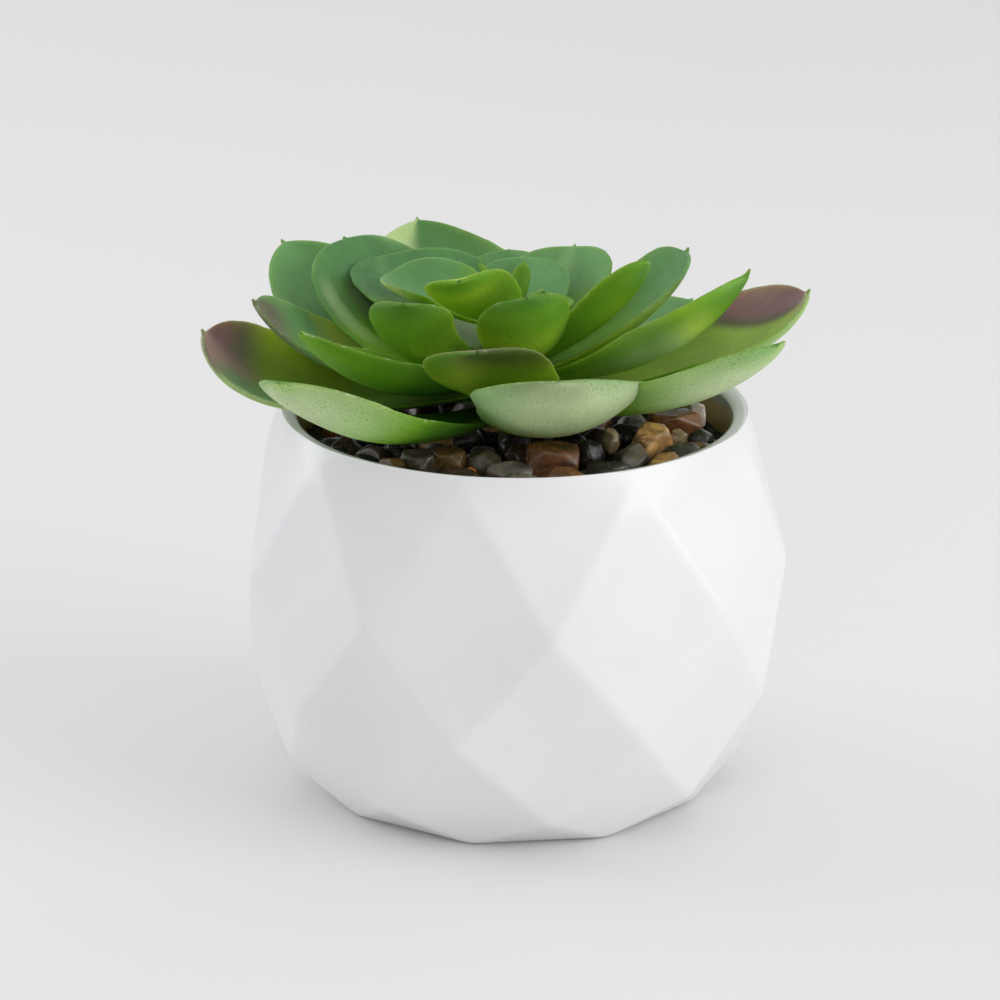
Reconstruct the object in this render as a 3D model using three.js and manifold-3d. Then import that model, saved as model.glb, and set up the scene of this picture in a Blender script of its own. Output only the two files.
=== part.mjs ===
// A small potted aeonium: an open rosette of moulded, spoon-shaped leaves on a short stem,
// standing in a layer of pebbles in a white faceted pot. Millimetres, +Z up. The origin is the
// middle of the pot's flat underside. The photographed front faces -Y.
import * as THREE from 'three';
import Module from 'manifold-3d';
import { mergeVertices } from 'three/addons/utils/BufferGeometryUtils.js';

const wasm = await Module();
wasm.setup();

// ---------------------------------------------------------------- driving dimensions (mm)
const GAP = 0.3;                    // clearance between pieces that touch

// Pot: nine-sided rings of facet corners. Rings A, C and E are turned half a step from B and D.
const SIDES = 9;
const TURN = 8;                     // degrees that corner B0 stands right of the front
const HEIGHT_A = 57.4;              // top corners of the upper kites
const HEIGHT_B = 35.6;              // corners at the belly
const HEIGHT_C = 19;                // corners below the belly
const HEIGHT_D = 5.8;               // corners above the foot
const RADIUS_A = 36.4;
const RADIUS_B = 40.9;
const RADIUS_E = 29;                // flat underside
const LIP_STEPS = [[0.5, 1.0], [1.5, 1.6]];     // [inset, rise] of the rounding above ring A
const MOUTH_RADIUS = 32.3;          // round opening
const MOUTH_ROUNDING = 1.1;
const CAVITY_FLOOR = 5;
const CAVITY_FLOOR_RADIUS = 25;
const CAVITY_HEEL = 14;             // height where the cavity reaches its full width
const CAVITY_HEEL_RADIUS = 31;
const ROUND_SEGMENTS = 72;

// Filling
const SOIL_TOP = 50.5;
const SOIL_SEGMENTS = 36;
const BED_THICKNESS = 1.6;          // grit that the pebbles are bedded in
const STEM_RADIUS = 2.4;
const STEM_FOOT = 38;               // the stem stands in a plain hole this deep
const STEM_TOP = 73.4;
const STEM_SEGMENTS = 20;

// Pebbles: the rule for those placed by the spiral
const PEBBLE_COUNT = 64;
const PEBBLE_INNER = 6.2;           // ring that the pebble centres keep to
const PEBBLE_OUTER = 28.6;
const PEBBLE_SIZE = 2.5;            // smallest half length
const PEBBLE_SPREAD = 1.3;
const GOLDEN_ANGLE = 137.508;
const PEBBLE_SEED = 11;

// Leaf blade
const MIDRIB_STEPS = 60;
const BASE_SHARE = 0.34;            // width at the base, as a share of the full width
const MUCRO_LENGTH = 1.3;           // small point at the tip
const MUCRO_HALF_WIDTH = 0.4;
const LEAF_DEFAULTS = {
  side: 0, roll: 0, twist: 0, fold: 0, curl: 1, widest: 0.6, blunt: 2.3, thick: 1.8, edge: 0.7,
};
const LEAF_GRID = { rows: 9, columns: 6 };
const SMALL_LEAF_GRID = { rows: 7, columns: 4 };

// Whorls, from the lowest up. Each is a collar round the stem with its leaves. For a leaf:
// turn = degrees from the front, positive to the right; start = [radius, height] of its base;
// rise = slope at the base and bend = how much it steepens by the tip, in degrees;
// curl = power that moves the bend towards the tip; length and half width in mm;
// cup = half angle of the arc across the blade; roll and twist turn the blade about its midrib;
// side = sideways sweep of the tip in mm; fold = crease at the midrib in degrees.
const WHORLS = [
  {
    name: 'leaf_whorl_1', collar: [56.4, 59.4], radius: 6.2, color: 0x8fbf6a,
    leaves: [
      { turn: -33, start: [4, 58.4], rise: 0, bend: 52.5, length: 51.1, half: 9.4, cup: 40,
        curl: 1.9, side: -6, roll: 3.5, twist: 2, fold: 8, widest: 0.77, blunt: 2.2 },
      { turn: 23, start: [4, 57.5], rise: 5.5, bend: 64, length: 35.7, half: 15.1, cup: 54,
        curl: 2, side: -7.9, roll: 5.5, twist: -12, widest: 0.66, blunt: 2 },
      { turn: 53.5, start: [4, 58.5], rise: 8, bend: 42.5, length: 45.7, half: 10.4, cup: 49,
        curl: 1.9, side: 0.9, roll: -11.5, twist: 6, widest: 0.63, blunt: 2.4 },
      { turn: 138, start: [4, 57.8], rise: 0, bend: 26, length: 37.5, half: 11, cup: 40 },
      { turn: 203.5, start: [4, 58], rise: 5.5, bend: 57, length: 46.9, half: 16.5, cup: 40,
        curl: 2.3, side: -3.1, roll: -4.5, twist: -1, blunt: 1.8 },
      { turn: -140, start: [4, 57.8], rise: -3, bend: 24, length: 38, half: 10, cup: 30 },
    ],
  },
  {
    name: 'leaf_whorl_2', collar: [60.1, 61.9], radius: 5.8, color: 0x8a6a5c,
    leaves: [
      { turn: -89, start: [4, 60.9], rise: -6.5, bend: 69.5, length: 45.4, half: 12.2, cup: 38,
        curl: 2.6, side: 2.2, roll: 1.5, twist: -16.5, widest: 0.64, blunt: 2.7 },
      { turn: 98.5, start: [4, 61.2], rise: 0.5, bend: 56, length: 43.3, half: 11.6, cup: 56,
        curl: 2, side: -2, roll: 1, twist: 5, widest: 0.66 },
      { turn: -1.5, start: [4, 61.3], rise: 8.5, bend: 51.5, length: 30, half: 9.2, cup: 21,
        curl: 1.5, side: -4.6, roll: -10.5, twist: 17.5, widest: 0.76, blunt: 3.6 },
      { turn: -125, start: [4, 60.9], rise: 9, bend: 37.5, length: 42.3, half: 12.6, cup: 21,
        curl: 1.8, side: 0.8, roll: -9.5, widest: 0.61, blunt: 1.9 },
      { turn: 180.5, start: [4, 61.3], rise: 8.5, bend: 18.5, length: 35, half: 8.5, cup: 34,
        side: 0.7, roll: -0.5, twist: -1.5 },
    ],
  },
  {
    name: 'leaf_whorl_3', collar: [62.5, 65], radius: 5.4, color: 0x5fa04c,
    leaves: [
      { turn: -81, start: [3.5, 63], rise: 0, bend: 53.5, length: 38.1, half: 9.7, cup: 35.5,
        curl: 1.8, side: -2.6, roll: -0.5, twist: -7.5, blunt: 2.5 },
      { turn: -46, start: [3.5, 64.1], rise: -5.5, bend: 64, length: 36.6, half: 9, cup: 58.5,
        curl: 1.6, side: -6.3, roll: 3, twist: -1, fold: 9.5, widest: 0.56, blunt: 1.8 },
      { turn: 78, start: [3.5, 63.1], rise: 5, bend: 58, length: 36.3, half: 10.5, cup: 46.5,
        curl: 1.4, side: 2.1, roll: -11.5, twist: 0.5, fold: 8, widest: 0.58, blunt: 2.1 },
      { turn: -124, start: [3.5, 64.3], rise: 9, bend: 43, length: 32.9, half: 16.2, cup: 8,
        curl: 1.5, side: -1.8, roll: -11, twist: 21, widest: 0.62, blunt: 3.1 },
      { turn: 113.5, start: [3.5, 63.5], rise: 11.5, bend: 46, length: 30.4, half: 9.2, cup: 39.5,
        curl: 1.5, side: 2.9, roll: -9, twist: 3, fold: 6.5, widest: 0.68, blunt: 3 },
      { turn: 163.5, start: [3.5, 63.8], rise: 7, bend: 32, length: 29.9, half: 9.7, cup: 42,
        curl: 1.2, side: -0.2, roll: -3.5, twist: -5.5, fold: 5.5, widest: 0.59, blunt: 2.6 },
    ],
  },
  {
    name: 'leaf_whorl_4', collar: [65.7, 68.6], radius: 5, color: 0x4d8f4f,
    ...SMALL_LEAF_GRID,
    leaves: [
      { turn: -45, start: [3, 66.5], rise: -1, bend: 80, length: 31.7, half: 7.6, cup: 57,
        curl: 1.6, side: 5.6, roll: 10.5, twist: 8.5, fold: 3, widest: 0.8, blunt: 3 },
      { turn: 9.5, start: [3, 66.7], rise: 13.5, bend: 64.5, length: 23.3, half: 7.8, cup: 53.5,
        curl: 1.5, side: -1.8, roll: 4.5, twist: 11, widest: 0.67, blunt: 3 },
      { turn: 69.5, start: [3, 66.2], rise: 28.5, bend: 37.5, length: 24.2, half: 5.1, cup: 50.5,
        curl: 1.4, side: -0.2, roll: -25.5, twist: 1.5, fold: 5.5, widest: 0.64 },
      { turn: 176, start: [3, 67], rise: 12, bend: 12, length: 23, half: 7.5, cup: 40 },
      { turn: -136, start: [3, 67], rise: 6.5, bend: 23, length: 26.9, half: 13.4, cup: 26,
        curl: 0.9, side: -0.4, twist: 2, blunt: 2.8 },
    ],
  },
  {
    name: 'heart_leaves', collar: [68.9, 74.8], radius: 4, color: 0x9cbf4a,
    ...SMALL_LEAF_GRID,
    leaves: [
      { turn: -25, start: [2, 72.9], rise: 12, bend: 38, length: 22.1, half: 7.2, cup: 62,
        curl: 1.4, side: 1, roll: 17.5, twist: 5, blunt: 3.2 },
      { turn: -111, start: [2, 71.2], rise: 3, bend: 24.5, length: 18.7, half: 10.1, cup: 47.5,
        curl: 0.7, side: 2.2, roll: -1.5, twist: 3, widest: 0.63, blunt: 2.7 },
      { turn: 140, start: [2, 71], rise: -3, bend: 32, length: 9, half: 4.6, cup: 40 },
      { turn: 65, start: [0.5, 73.6], rise: 18, bend: 35, length: 4.8, half: 3, cup: 50 },
      { turn: 160, start: [1, 73.8], rise: 60, bend: 10, length: 6, half: 1.6, cup: 60 },
      { turn: -100, start: [3, 73.6], rise: 62, bend: 15, length: 6.7, half: 1.6, cup: 60 },
    ],
  },
];

// ---------------------------------------------------------------- helpers
const radians = (degrees) => degrees * Math.PI / 180;

// A point given by radius, turn from the front (degrees, positive to the right) and height.
function aroundAxis(radius, turn, height) {
  return [radius * Math.sin(radians(turn)), -radius * Math.cos(radians(turn)), height];
}

function solidFrom(points, triangles) {
  return new wasm.Manifold(new wasm.Mesh({
    numProp: 3,
    vertProperties: new Float32Array(points.flat()),
    triVerts: new Uint32Array(triangles.flat()),
  }));
}

function solidFromGeometry(geometry) {
  geometry.deleteAttribute('normal');
  geometry.deleteAttribute('uv');
  const merged = mergeVertices(geometry, 1e-4);
  return new wasm.Manifold(new wasm.Mesh({
    numProp: 3,
    vertProperties: new Float32Array(merged.attributes.position.array),
    triVerts: new Uint32Array(merged.index.array),
  }));
}

// A solid of revolution from [radius, height] points that start and end on the axis.
function turned(profile, segments) {
  const points = profile.map(([radius, height]) => new THREE.Vector2(radius, height));
  const geometry = new THREE.LatheGeometry(points, segments);
  geometry.rotateX(Math.PI / 2);
  return solidFromGeometry(geometry);
}

function geometryOf(solid) {
  const mesh = solid.getMesh();
  const geometry = new THREE.BufferGeometry();
  geometry.setAttribute('position', new THREE.BufferAttribute(mesh.vertProperties, 3));
  geometry.setIndex(new THREE.BufferAttribute(mesh.triVerts, 1));
  geometry.computeVertexNormals();
  return geometry;
}

function named(name, solid, color, roughness, metalness = 0) {
  const material = new THREE.MeshStandardMaterial({ color, roughness, metalness });
  const mesh = new THREE.Mesh(geometryOf(solid), material);
  mesh.name = name;
  return mesh;
}

// A small generator with a fixed seed, so that every draw is the same on each run.
function seededDraws(seed) {
  let state = seed;
  return () => {
    state = (state * 1664525 + 1013904223) % 4294967296;
    return state / 4294967296;
  };
}

// ---------------------------------------------------------------- pot
// The kites are flat, so rings C and D follow from A and B.
const MIDDLE = Math.cos(Math.PI / SIDES);
const RADIUS_C = RADIUS_A
  + (RADIUS_B * MIDDLE - RADIUS_A) * (HEIGHT_A - HEIGHT_C) / (HEIGHT_A - HEIGHT_B);
const RADIUS_D = RADIUS_B
  + (RADIUS_C * MIDDLE - RADIUS_B) * (HEIGHT_B - HEIGHT_D) / (HEIGHT_B - HEIGHT_C);

function potOutside() {
  const rings = [
    { radius: RADIUS_E, height: 0, shift: 0.5 },
    { radius: RADIUS_D, height: HEIGHT_D, shift: 0 },
    { radius: RADIUS_C, height: HEIGHT_C, shift: 0.5 },
    { radius: RADIUS_B, height: HEIGHT_B, shift: 0 },
    { radius: RADIUS_A, height: HEIGHT_A, shift: 0.5 },
    ...LIP_STEPS.map(([inset, rise]) => (
      { radius: RADIUS_A - inset, height: HEIGHT_A + rise, shift: 0.5 })),
  ];
  const points = rings.flatMap(({ radius, height, shift }) => (
    Array.from({ length: SIDES }, (_, i) => (
      aroundAxis(radius, TURN + (i + shift) * 360 / SIDES, height)))));
  const triangles = [];
  for (let level = 0; level + 1 < rings.length; level += 1) {
    const low = rings[level].shift;
    const high = rings[level + 1].shift;
    for (let i = 0; i < SIDES; i += 1) {
      const next = (i + 1) % SIDES;
      const a = level * SIDES + i;
      const b = level * SIDES + next;
      const c = (level + 1) * SIDES + i;
      const d = (level + 1) * SIDES + next;
      if (low === high) triangles.push([a, b, d], [a, d, c]);
      else if (low > high) triangles.push([a, b, d], [a, d, c]);
      else triangles.push([a, b, c], [b, d, c]);
    }
  }
  const bottom = points.push([0, 0, 0]) - 1;
  const top = points.push([0, 0, rings[rings.length - 1].height]) - 1;
  const last = (rings.length - 1) * SIDES;
  for (let i = 0; i < SIDES; i += 1) {
    const next = (i + 1) % SIDES;
    triangles.push([bottom, next, i], [top, last + i, last + next]);
  }
  return solidFrom(points, triangles);
}

const RIM_HEIGHT = HEIGHT_A + LIP_STEPS[LIP_STEPS.length - 1][1];

function cavityRadius(height) {
  const share = (height - CAVITY_HEEL) / (RIM_HEIGHT - CAVITY_HEEL);
  return CAVITY_HEEL_RADIUS + (MOUTH_RADIUS - CAVITY_HEEL_RADIUS) * share;
}

function cavity() {
  const profile = [
    [0, CAVITY_FLOOR],
    [CAVITY_FLOOR_RADIUS, CAVITY_FLOOR],
    [CAVITY_FLOOR_RADIUS + 4, CAVITY_FLOOR + 3],
    [CAVITY_HEEL_RADIUS, CAVITY_HEEL],
    [cavityRadius(RIM_HEIGHT - MOUTH_ROUNDING), RIM_HEIGHT - MOUTH_ROUNDING],
    [MOUTH_RADIUS + 0.25 * MOUTH_ROUNDING, RIM_HEIGHT - 0.35 * MOUTH_ROUNDING],
    [MOUTH_RADIUS + MOUTH_ROUNDING, RIM_HEIGHT + 0.01],
    [MOUTH_RADIUS + MOUTH_ROUNDING, RIM_HEIGHT + 2],
    [0, RIM_HEIGHT + 2],
  ];
  return turned(profile, ROUND_SEGMENTS);
}

// ---------------------------------------------------------------- filling
const SOIL_FOOT = CAVITY_FLOOR + GAP;

function soilFill() {
  const edge = cavityRadius(SOIL_TOP) - GAP;
  const profile = [
    [0, SOIL_FOOT],
    [CAVITY_FLOOR_RADIUS - GAP, SOIL_FOOT],
    [CAVITY_FLOOR_RADIUS + 4 - 2 * GAP, SOIL_FOOT + 3],
    [CAVITY_HEEL_RADIUS - 2 * GAP, CAVITY_HEEL],
    [edge - GAP, SOIL_TOP],
    [0, SOIL_TOP],
  ];
  return turned(profile, SOIL_SEGMENTS).subtract(stemHole(STEM_FOOT - GAP));
}

// The plain round hole that the stem stands in. It ends just over the stem's top, inside the
// heart leaves' collar.
function stemHole(from) {
  const [radius, top] = [STEM_RADIUS + GAP, STEM_TOP + GAP];
  return turned([[0, from], [radius, from], [radius, top], [0, top]], STEM_SEGMENTS);
}

function stem() {
  return turned([
    [0, STEM_FOOT], [STEM_RADIUS, STEM_FOOT], [STEM_RADIUS, STEM_TOP - 0.6],
    [STEM_RADIUS - 0.6, STEM_TOP], [0, STEM_TOP],
  ], STEM_SEGMENTS);
}

// Pebbles that show at the front and right, laid by hand: [x, y], top height, half sizes, yaw.
const SHOWN_PEBBLES = [
  { at: [0.5, -27.4], top: 56.6, half: [4.1, 2.6, 2.3], yaw: 4 },
  { at: [7.2, -25.6], top: 57.2, half: [3.6, 3, 3.2], yaw: -12 },
  { at: [12.4, -21.8], top: 56.9, half: [2.7, 2.7, 2.7], yaw: 30 },
  { at: [17.2, -24.2], top: 55.9, half: [3.4, 2.5, 2.3], yaw: 28 },
  { at: [21.6, -18.4], top: 57.4, half: [3.2, 2.6, 2.9], yaw: 60 },
  { at: [26.4, -14.2], top: 57.2, half: [4.3, 2.6, 2.6], yaw: 12 },
  { at: [27.6, -8], top: 56.4, half: [2.8, 3.3, 2.6], yaw: 0 },
  { at: [23.8, -20], top: 55.6, half: [3, 2.3, 2.2], yaw: 44 },
  { at: [-8.6, -25.4], top: 57, half: [4.4, 3, 3], yaw: -18 },
  { at: [-5, -28.4], top: 55.2, half: [2.6, 1.9, 1.8], yaw: 8 },
  { at: [-15.6, -23.6], top: 56.2, half: [3.4, 2.9, 2.6], yaw: -40 },
  { at: [-21.8, -18.6], top: 56.4, half: [3.6, 2.8, 2.7], yaw: -55 },
];

// A rounded stone: an icosahedron, subdivided detail times, with each corner pushed in or out a
// little.
function pebble(x, y, top, half, yaw, detail, draw) {
  const geometry = mergeVertices(new THREE.IcosahedronGeometry(1, detail)
    .deleteAttribute('normal').deleteAttribute('uv'), 1e-4);
  const position = geometry.attributes.position;
  for (let i = 0; i < position.count; i += 1) {
    const bulge = 0.9 + 0.2 * draw();
    position.setXYZ(i, position.getX(i) * bulge, position.getY(i) * bulge,
      position.getZ(i) * bulge);
  }
  geometry.scale(...half);
  geometry.rotateZ(radians(yaw));
  geometry.translate(x, y, top - half[2]);
  return new wasm.Manifold(new wasm.Mesh({
    numProp: 3,
    vertProperties: new Float32Array(position.array),
    triVerts: new Uint32Array(geometry.index.array),
  }));
}

const BED_FOOT = SOIL_TOP + GAP;

function pebbleLayer() {
  const draw = seededDraws(PEBBLE_SEED);
  const bedRadius = cavityRadius(BED_FOOT) - 2 * GAP;
  let layer = turned([
    [0, BED_FOOT], [bedRadius, BED_FOOT], [bedRadius, BED_FOOT + BED_THICKNESS],
    [0, BED_FOOT + BED_THICKNESS],
  ], SOIL_SEGMENTS);
  for (const { at, top, half, yaw } of SHOWN_PEBBLES) {
    layer = layer.add(pebble(at[0], at[1], top, half, yaw, 1, draw));
  }
  for (let i = 0; i < PEBBLE_COUNT; i += 1) {
    const share = (i + 0.5) / PEBBLE_COUNT;
    const radius = Math.sqrt(PEBBLE_INNER ** 2 + share * (PEBBLE_OUTER ** 2 - PEBBLE_INNER ** 2));
    const turn = i * GOLDEN_ANGLE + 8 * draw();
    const size = PEBBLE_SIZE + PEBBLE_SPREAD * draw();
    const flat = size * (0.62 + 0.25 * draw());
    const top = BED_FOOT + BED_THICKNESS + flat * (1 + 0.4 * draw());
    const yaw = 180 * draw();
    const [x, y] = aroundAxis(radius, turn, 0);
    const clash = SHOWN_PEBBLES.some(({ at }) => Math.hypot(at[0] - x, at[1] - y) < 4.6);
    if (!clash) layer = layer.add(pebble(x, y, top, [size, size * 0.78, flat], yaw, 0, draw));
  }
  const reach = turned([
    [0, BED_FOOT], [bedRadius, BED_FOOT], [cavityRadius(RIM_HEIGHT - 2) - 2 * GAP, RIM_HEIGHT - 1],
    [0, RIM_HEIGHT - 1],
  ], ROUND_SEGMENTS);
  return layer.intersect(reach).subtract(stemHole(BED_FOOT - 2));
}

// ---------------------------------------------------------------- leaves
// Half width at a share s of the length, as a share of the full half width: it swells from the
// narrow base as a quarter sine and closes at the tip as a superellipse.
function outline(s, { widest, blunt }) {
  if (s < widest) {
    const swell = Math.sin(s / widest * Math.PI / 2) ** 1.15;
    return BASE_SHARE + (1 - BASE_SHARE) * swell;
  }
  const q = Math.min((s - widest) / (1 - widest), 1);
  return (1 - q ** blunt) ** (1.15 / blunt);
}

// The midrib climbs at the angle rise + bend * s ** curl; its radius and height are the sums of
// short steps along it.
function midribAt(share, { start, rise, bend, curl, length }) {
  let [radius, height] = start;
  const slope = (s) => radians(rise + bend * s ** curl);
  const step = share / MIDRIB_STEPS;
  for (let i = 0; i < MIDRIB_STEPS; i += 1) {
    const angle = slope((i + 0.5) * step);
    radius += Math.cos(angle) * step * length;
    height += Math.sin(angle) * step * length;
  }
  return { radius, height, angle: slope(share) };
}

// One blade: rows run from the base to the tip and its small point, columns run across. A row is
// an arc across the midrib, with the blade's thickness laid half above and half below it.
function leafSolid(options, grid) {
  const leaf = { ...LEAF_DEFAULTS, ...options };
  const rows = [];
  for (let i = 0; i < grid.rows; i += 1) {
    const s = Math.sin(i / (grid.rows - 1) * Math.PI / 2) ** 0.9;
    rows.push({ s, half: outline(s, leaf) * leaf.half });
  }
  rows[grid.rows - 1] = { s: 0.995, half: MUCRO_HALF_WIDTH };
  rows.push({ s: 1 + MUCRO_LENGTH / leaf.length, half: MUCRO_HALF_WIDTH / 2 });

  const upper = [];
  const lower = [];
  for (const { s, half } of rows) {
    const rib = midribAt(s, leaf);
    const arc = radians(leaf.cup) * (1 - 0.4 * s * s) * Math.min(0.25 + 1.5 * s, 1);
    const roll = radians(leaf.roll + leaf.twist * s);
    for (let j = 0; j <= grid.columns; j += 1) {
      const t = 2 * j / grid.columns - 1;
      const crease = radians(leaf.fold) * Math.min(Math.abs(t) * 4, 1) * (1 - 0.6 * s * s);
      const across = half / arc * Math.sin(arc * t);
      const lift = half / arc * (1 - Math.cos(arc * t)) + Math.abs(across) * Math.tan(crease);
      const tilt = arc * t + Math.sign(t) * crease + roll;
      const swell = (1 - Math.abs(t) ** 2.5) * Math.sqrt(Math.min(Math.max(1.25 - s, 0), 1));
      const thickness = (leaf.edge + (leaf.thick - leaf.edge) * swell) / 2;
      const right = across * Math.cos(roll) - lift * Math.sin(roll);
      const up = across * Math.sin(roll) + lift * Math.cos(roll);
      for (const [points, way] of [[upper, 1], [lower, -1]]) {
        const sideways = right - way * thickness * Math.sin(tilt) + leaf.side * s * s;
        const raised = up + way * thickness * Math.cos(tilt);
        const radius = rib.radius - Math.sin(rib.angle) * raised;
        const height = rib.height + Math.cos(rib.angle) * raised;
        const turn = radians(leaf.turn);
        points.push([
          radius * Math.sin(turn) + sideways * Math.cos(turn),
          -radius * Math.cos(turn) + sideways * Math.sin(turn),
          height,
        ]);
      }
    }
  }
  return bladeSolid(upper, lower, rows.length, grid.columns + 1);
}

// Closes two like grids of points into a solid. Both faces are split along the same diagonals.
function bladeSolid(upper, lower, rowCount, columnCount) {
  const under = rowCount * columnCount;
  const at = (i, j) => i * columnCount + j;
  const triangles = [];
  for (let i = 0; i + 1 < rowCount; i += 1) {
    for (let j = 0; j + 1 < columnCount; j += 1) {
      const [a, b, c, d] = [at(i, j), at(i, j + 1), at(i + 1, j + 1), at(i + 1, j)];
      triangles.push([a, c, b], [a, d, c]);
      triangles.push([under + a, under + b, under + c], [under + a, under + c, under + d]);
    }
    const [a, d] = [at(i, 0), at(i + 1, 0)];
    triangles.push([a, under + d, d], [a, under + a, under + d]);
    const [b, c] = [at(i, columnCount - 1), at(i + 1, columnCount - 1)];
    triangles.push([b, under + c, under + b], [b, c, under + c]);
  }
  for (let j = 0; j + 1 < columnCount; j += 1) {
    const [a, b] = [at(0, j), at(0, j + 1)];
    triangles.push([a, under + b, under + a], [a, b, under + b]);
    const [d, c] = [at(rowCount - 1, j), at(rowCount - 1, j + 1)];
    triangles.push([d, under + c, c], [d, under + d, under + c]);
  }
  return solidFrom([...upper, ...lower], triangles);
}

function whorl({ collar, radius, leaves, rows, columns }) {
  const [foot, top] = collar;
  const grid = rows ? { rows, columns } : LEAF_GRID;
  let solid = turned([
    [0, foot], [radius - 0.8, foot], [radius, foot + 0.8], [radius, top - 0.8],
    [radius - 0.8, top], [0, top],
  ], STEM_SEGMENTS);
  for (const leaf of leaves) solid = solid.add(leafSolid(leaf, grid));
  return solid;
}

// ---------------------------------------------------------------- assembly
const plant = new THREE.Group();
for (const entry of WHORLS) {
  const solid = whorl(entry).subtract(stemHole(STEM_FOOT));
  plant.add(named(entry.name, solid, entry.color, 0.5));
}
plant.add(named('stem', stem(), 0x7f8a4e, 0.6));

const aeonium = new THREE.Group();
aeonium.add(named('pot', potOutside().subtract(cavity()), 0xeceef2, 0.25));
aeonium.add(named('soil_fill', soilFill(), 0x2b221c, 0.95));
aeonium.add(named('pebble_layer', pebbleLayer(), 0x5a4a3c, 0.35));
aeonium.add(plant);

export default aeonium;
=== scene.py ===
"""Looks for a small potted aeonium: a rosette of moulded, cupped leaves on a short stem, glossy
pebbles, and a white glazed pot with soft-edged facets. Lengths in the formulas are millimetres,
and the meshes are metres. Heights are above the pot's underside. Turns are degrees from the
photographed front (-Y), positive to the right."""
import math

import bpy
import numpy as np
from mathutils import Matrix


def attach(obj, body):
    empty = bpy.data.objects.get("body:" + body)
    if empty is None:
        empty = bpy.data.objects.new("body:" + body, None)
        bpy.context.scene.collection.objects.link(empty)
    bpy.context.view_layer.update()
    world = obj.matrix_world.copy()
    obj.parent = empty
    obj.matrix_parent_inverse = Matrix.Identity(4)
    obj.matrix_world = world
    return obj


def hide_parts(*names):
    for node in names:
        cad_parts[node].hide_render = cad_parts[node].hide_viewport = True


bl_info = {
    "name": "Potted Aeonium",
    "version": (1, 0, 0),
    "blender": (4, 5, 0),
    "location": "View3D > Sidebar > Aeonium",
    "description": "Dresses a packed potted aeonium with its leaves, pebbles and glazed pot",
    "category": "Add Mesh",
}

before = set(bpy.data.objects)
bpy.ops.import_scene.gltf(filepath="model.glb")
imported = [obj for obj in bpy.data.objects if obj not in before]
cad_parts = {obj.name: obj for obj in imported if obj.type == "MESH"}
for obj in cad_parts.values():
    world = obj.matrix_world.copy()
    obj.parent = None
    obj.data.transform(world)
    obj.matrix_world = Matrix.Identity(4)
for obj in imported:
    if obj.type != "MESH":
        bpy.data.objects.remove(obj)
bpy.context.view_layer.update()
BODY = "root"
MM = 0.001
GAP = 0.3                         # clearance that the solids keep from each other


def srgb(red, green, blue, alpha=1.0):
    """A display colour of 0 to 255 as the linear colour that shaders take."""
    channels = np.array([red, green, blue]) / 255.0
    linear = np.where(channels <= 0.04045, channels / 12.92, ((channels + 0.055) / 1.055) ** 2.4)
    return (*linear.tolist(), alpha)


# ------------------------------------------------------------------------------ settings
def colour(name, description, display):
    """A colour property with a default given as a display colour."""
    return bpy.props.FloatVectorProperty(
        name=name, description=description, subtype="COLOR", size=4, min=0.0, max=1.0,
        default=srgb(*display))


def length(name, description, default_mm):
    """A length property with a default in millimetres."""
    return bpy.props.FloatProperty(
        name=name, description=description, default=default_mm * MM, subtype="DISTANCE",
        unit="LENGTH")


def power(name, description, default):
    """A light's power property in watts."""
    return bpy.props.FloatProperty(
        name=name, description=description, default=default, subtype="POWER", unit="POWER")


class AeoniumPotSettings(bpy.types.PropertyGroup):
    """Size and colour of the pot."""
    belly_radius: length("Belly radius", "From the axis to a facet corner at the belly", 40.9)
    shoulder_radius: length(
        "Shoulder radius", "From the axis to a facet corner under the rim", 36.4)
    mouth_radius: length("Mouth radius", "Radius of the round opening", 32.3)
    edge_hardness: bpy.props.FloatProperty(
        name="Edge hardness", description="Higher values make the facet edges crisper",
        default=260.0, min=40.0, max=800.0)
    glaze: colour("Glaze", "Colour of the glaze", (239, 238, 240))
    pooled_glaze: colour("Pooled glaze", "Colour where the glaze lies thicker", (231, 231, 233))
    # Painted shade of the wall inside the mouth, tinted brown like the pebbles' reflection in it.
    mouth_shade_colour: colour("Inner wall", "Colour of the bare wall inside the mouth", (252, 214, 156))


class AeoniumPebbleSettings(bpy.types.PropertyGroup):
    """Rule and colours of the pebbles."""
    count: bpy.props.IntProperty(
        name="Pebble count", description="Places along the spiral of pebbles", default=64, min=1)
    smallest: length("Smallest pebble", "Half length of the smallest pebble", 2.5)
    spread: length("Size spread", "How much longer the half length may be drawn", 1.3)
    grit: colour("Grit", "Colour of the grit that the pebbles lie in", (44, 34, 27))


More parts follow.
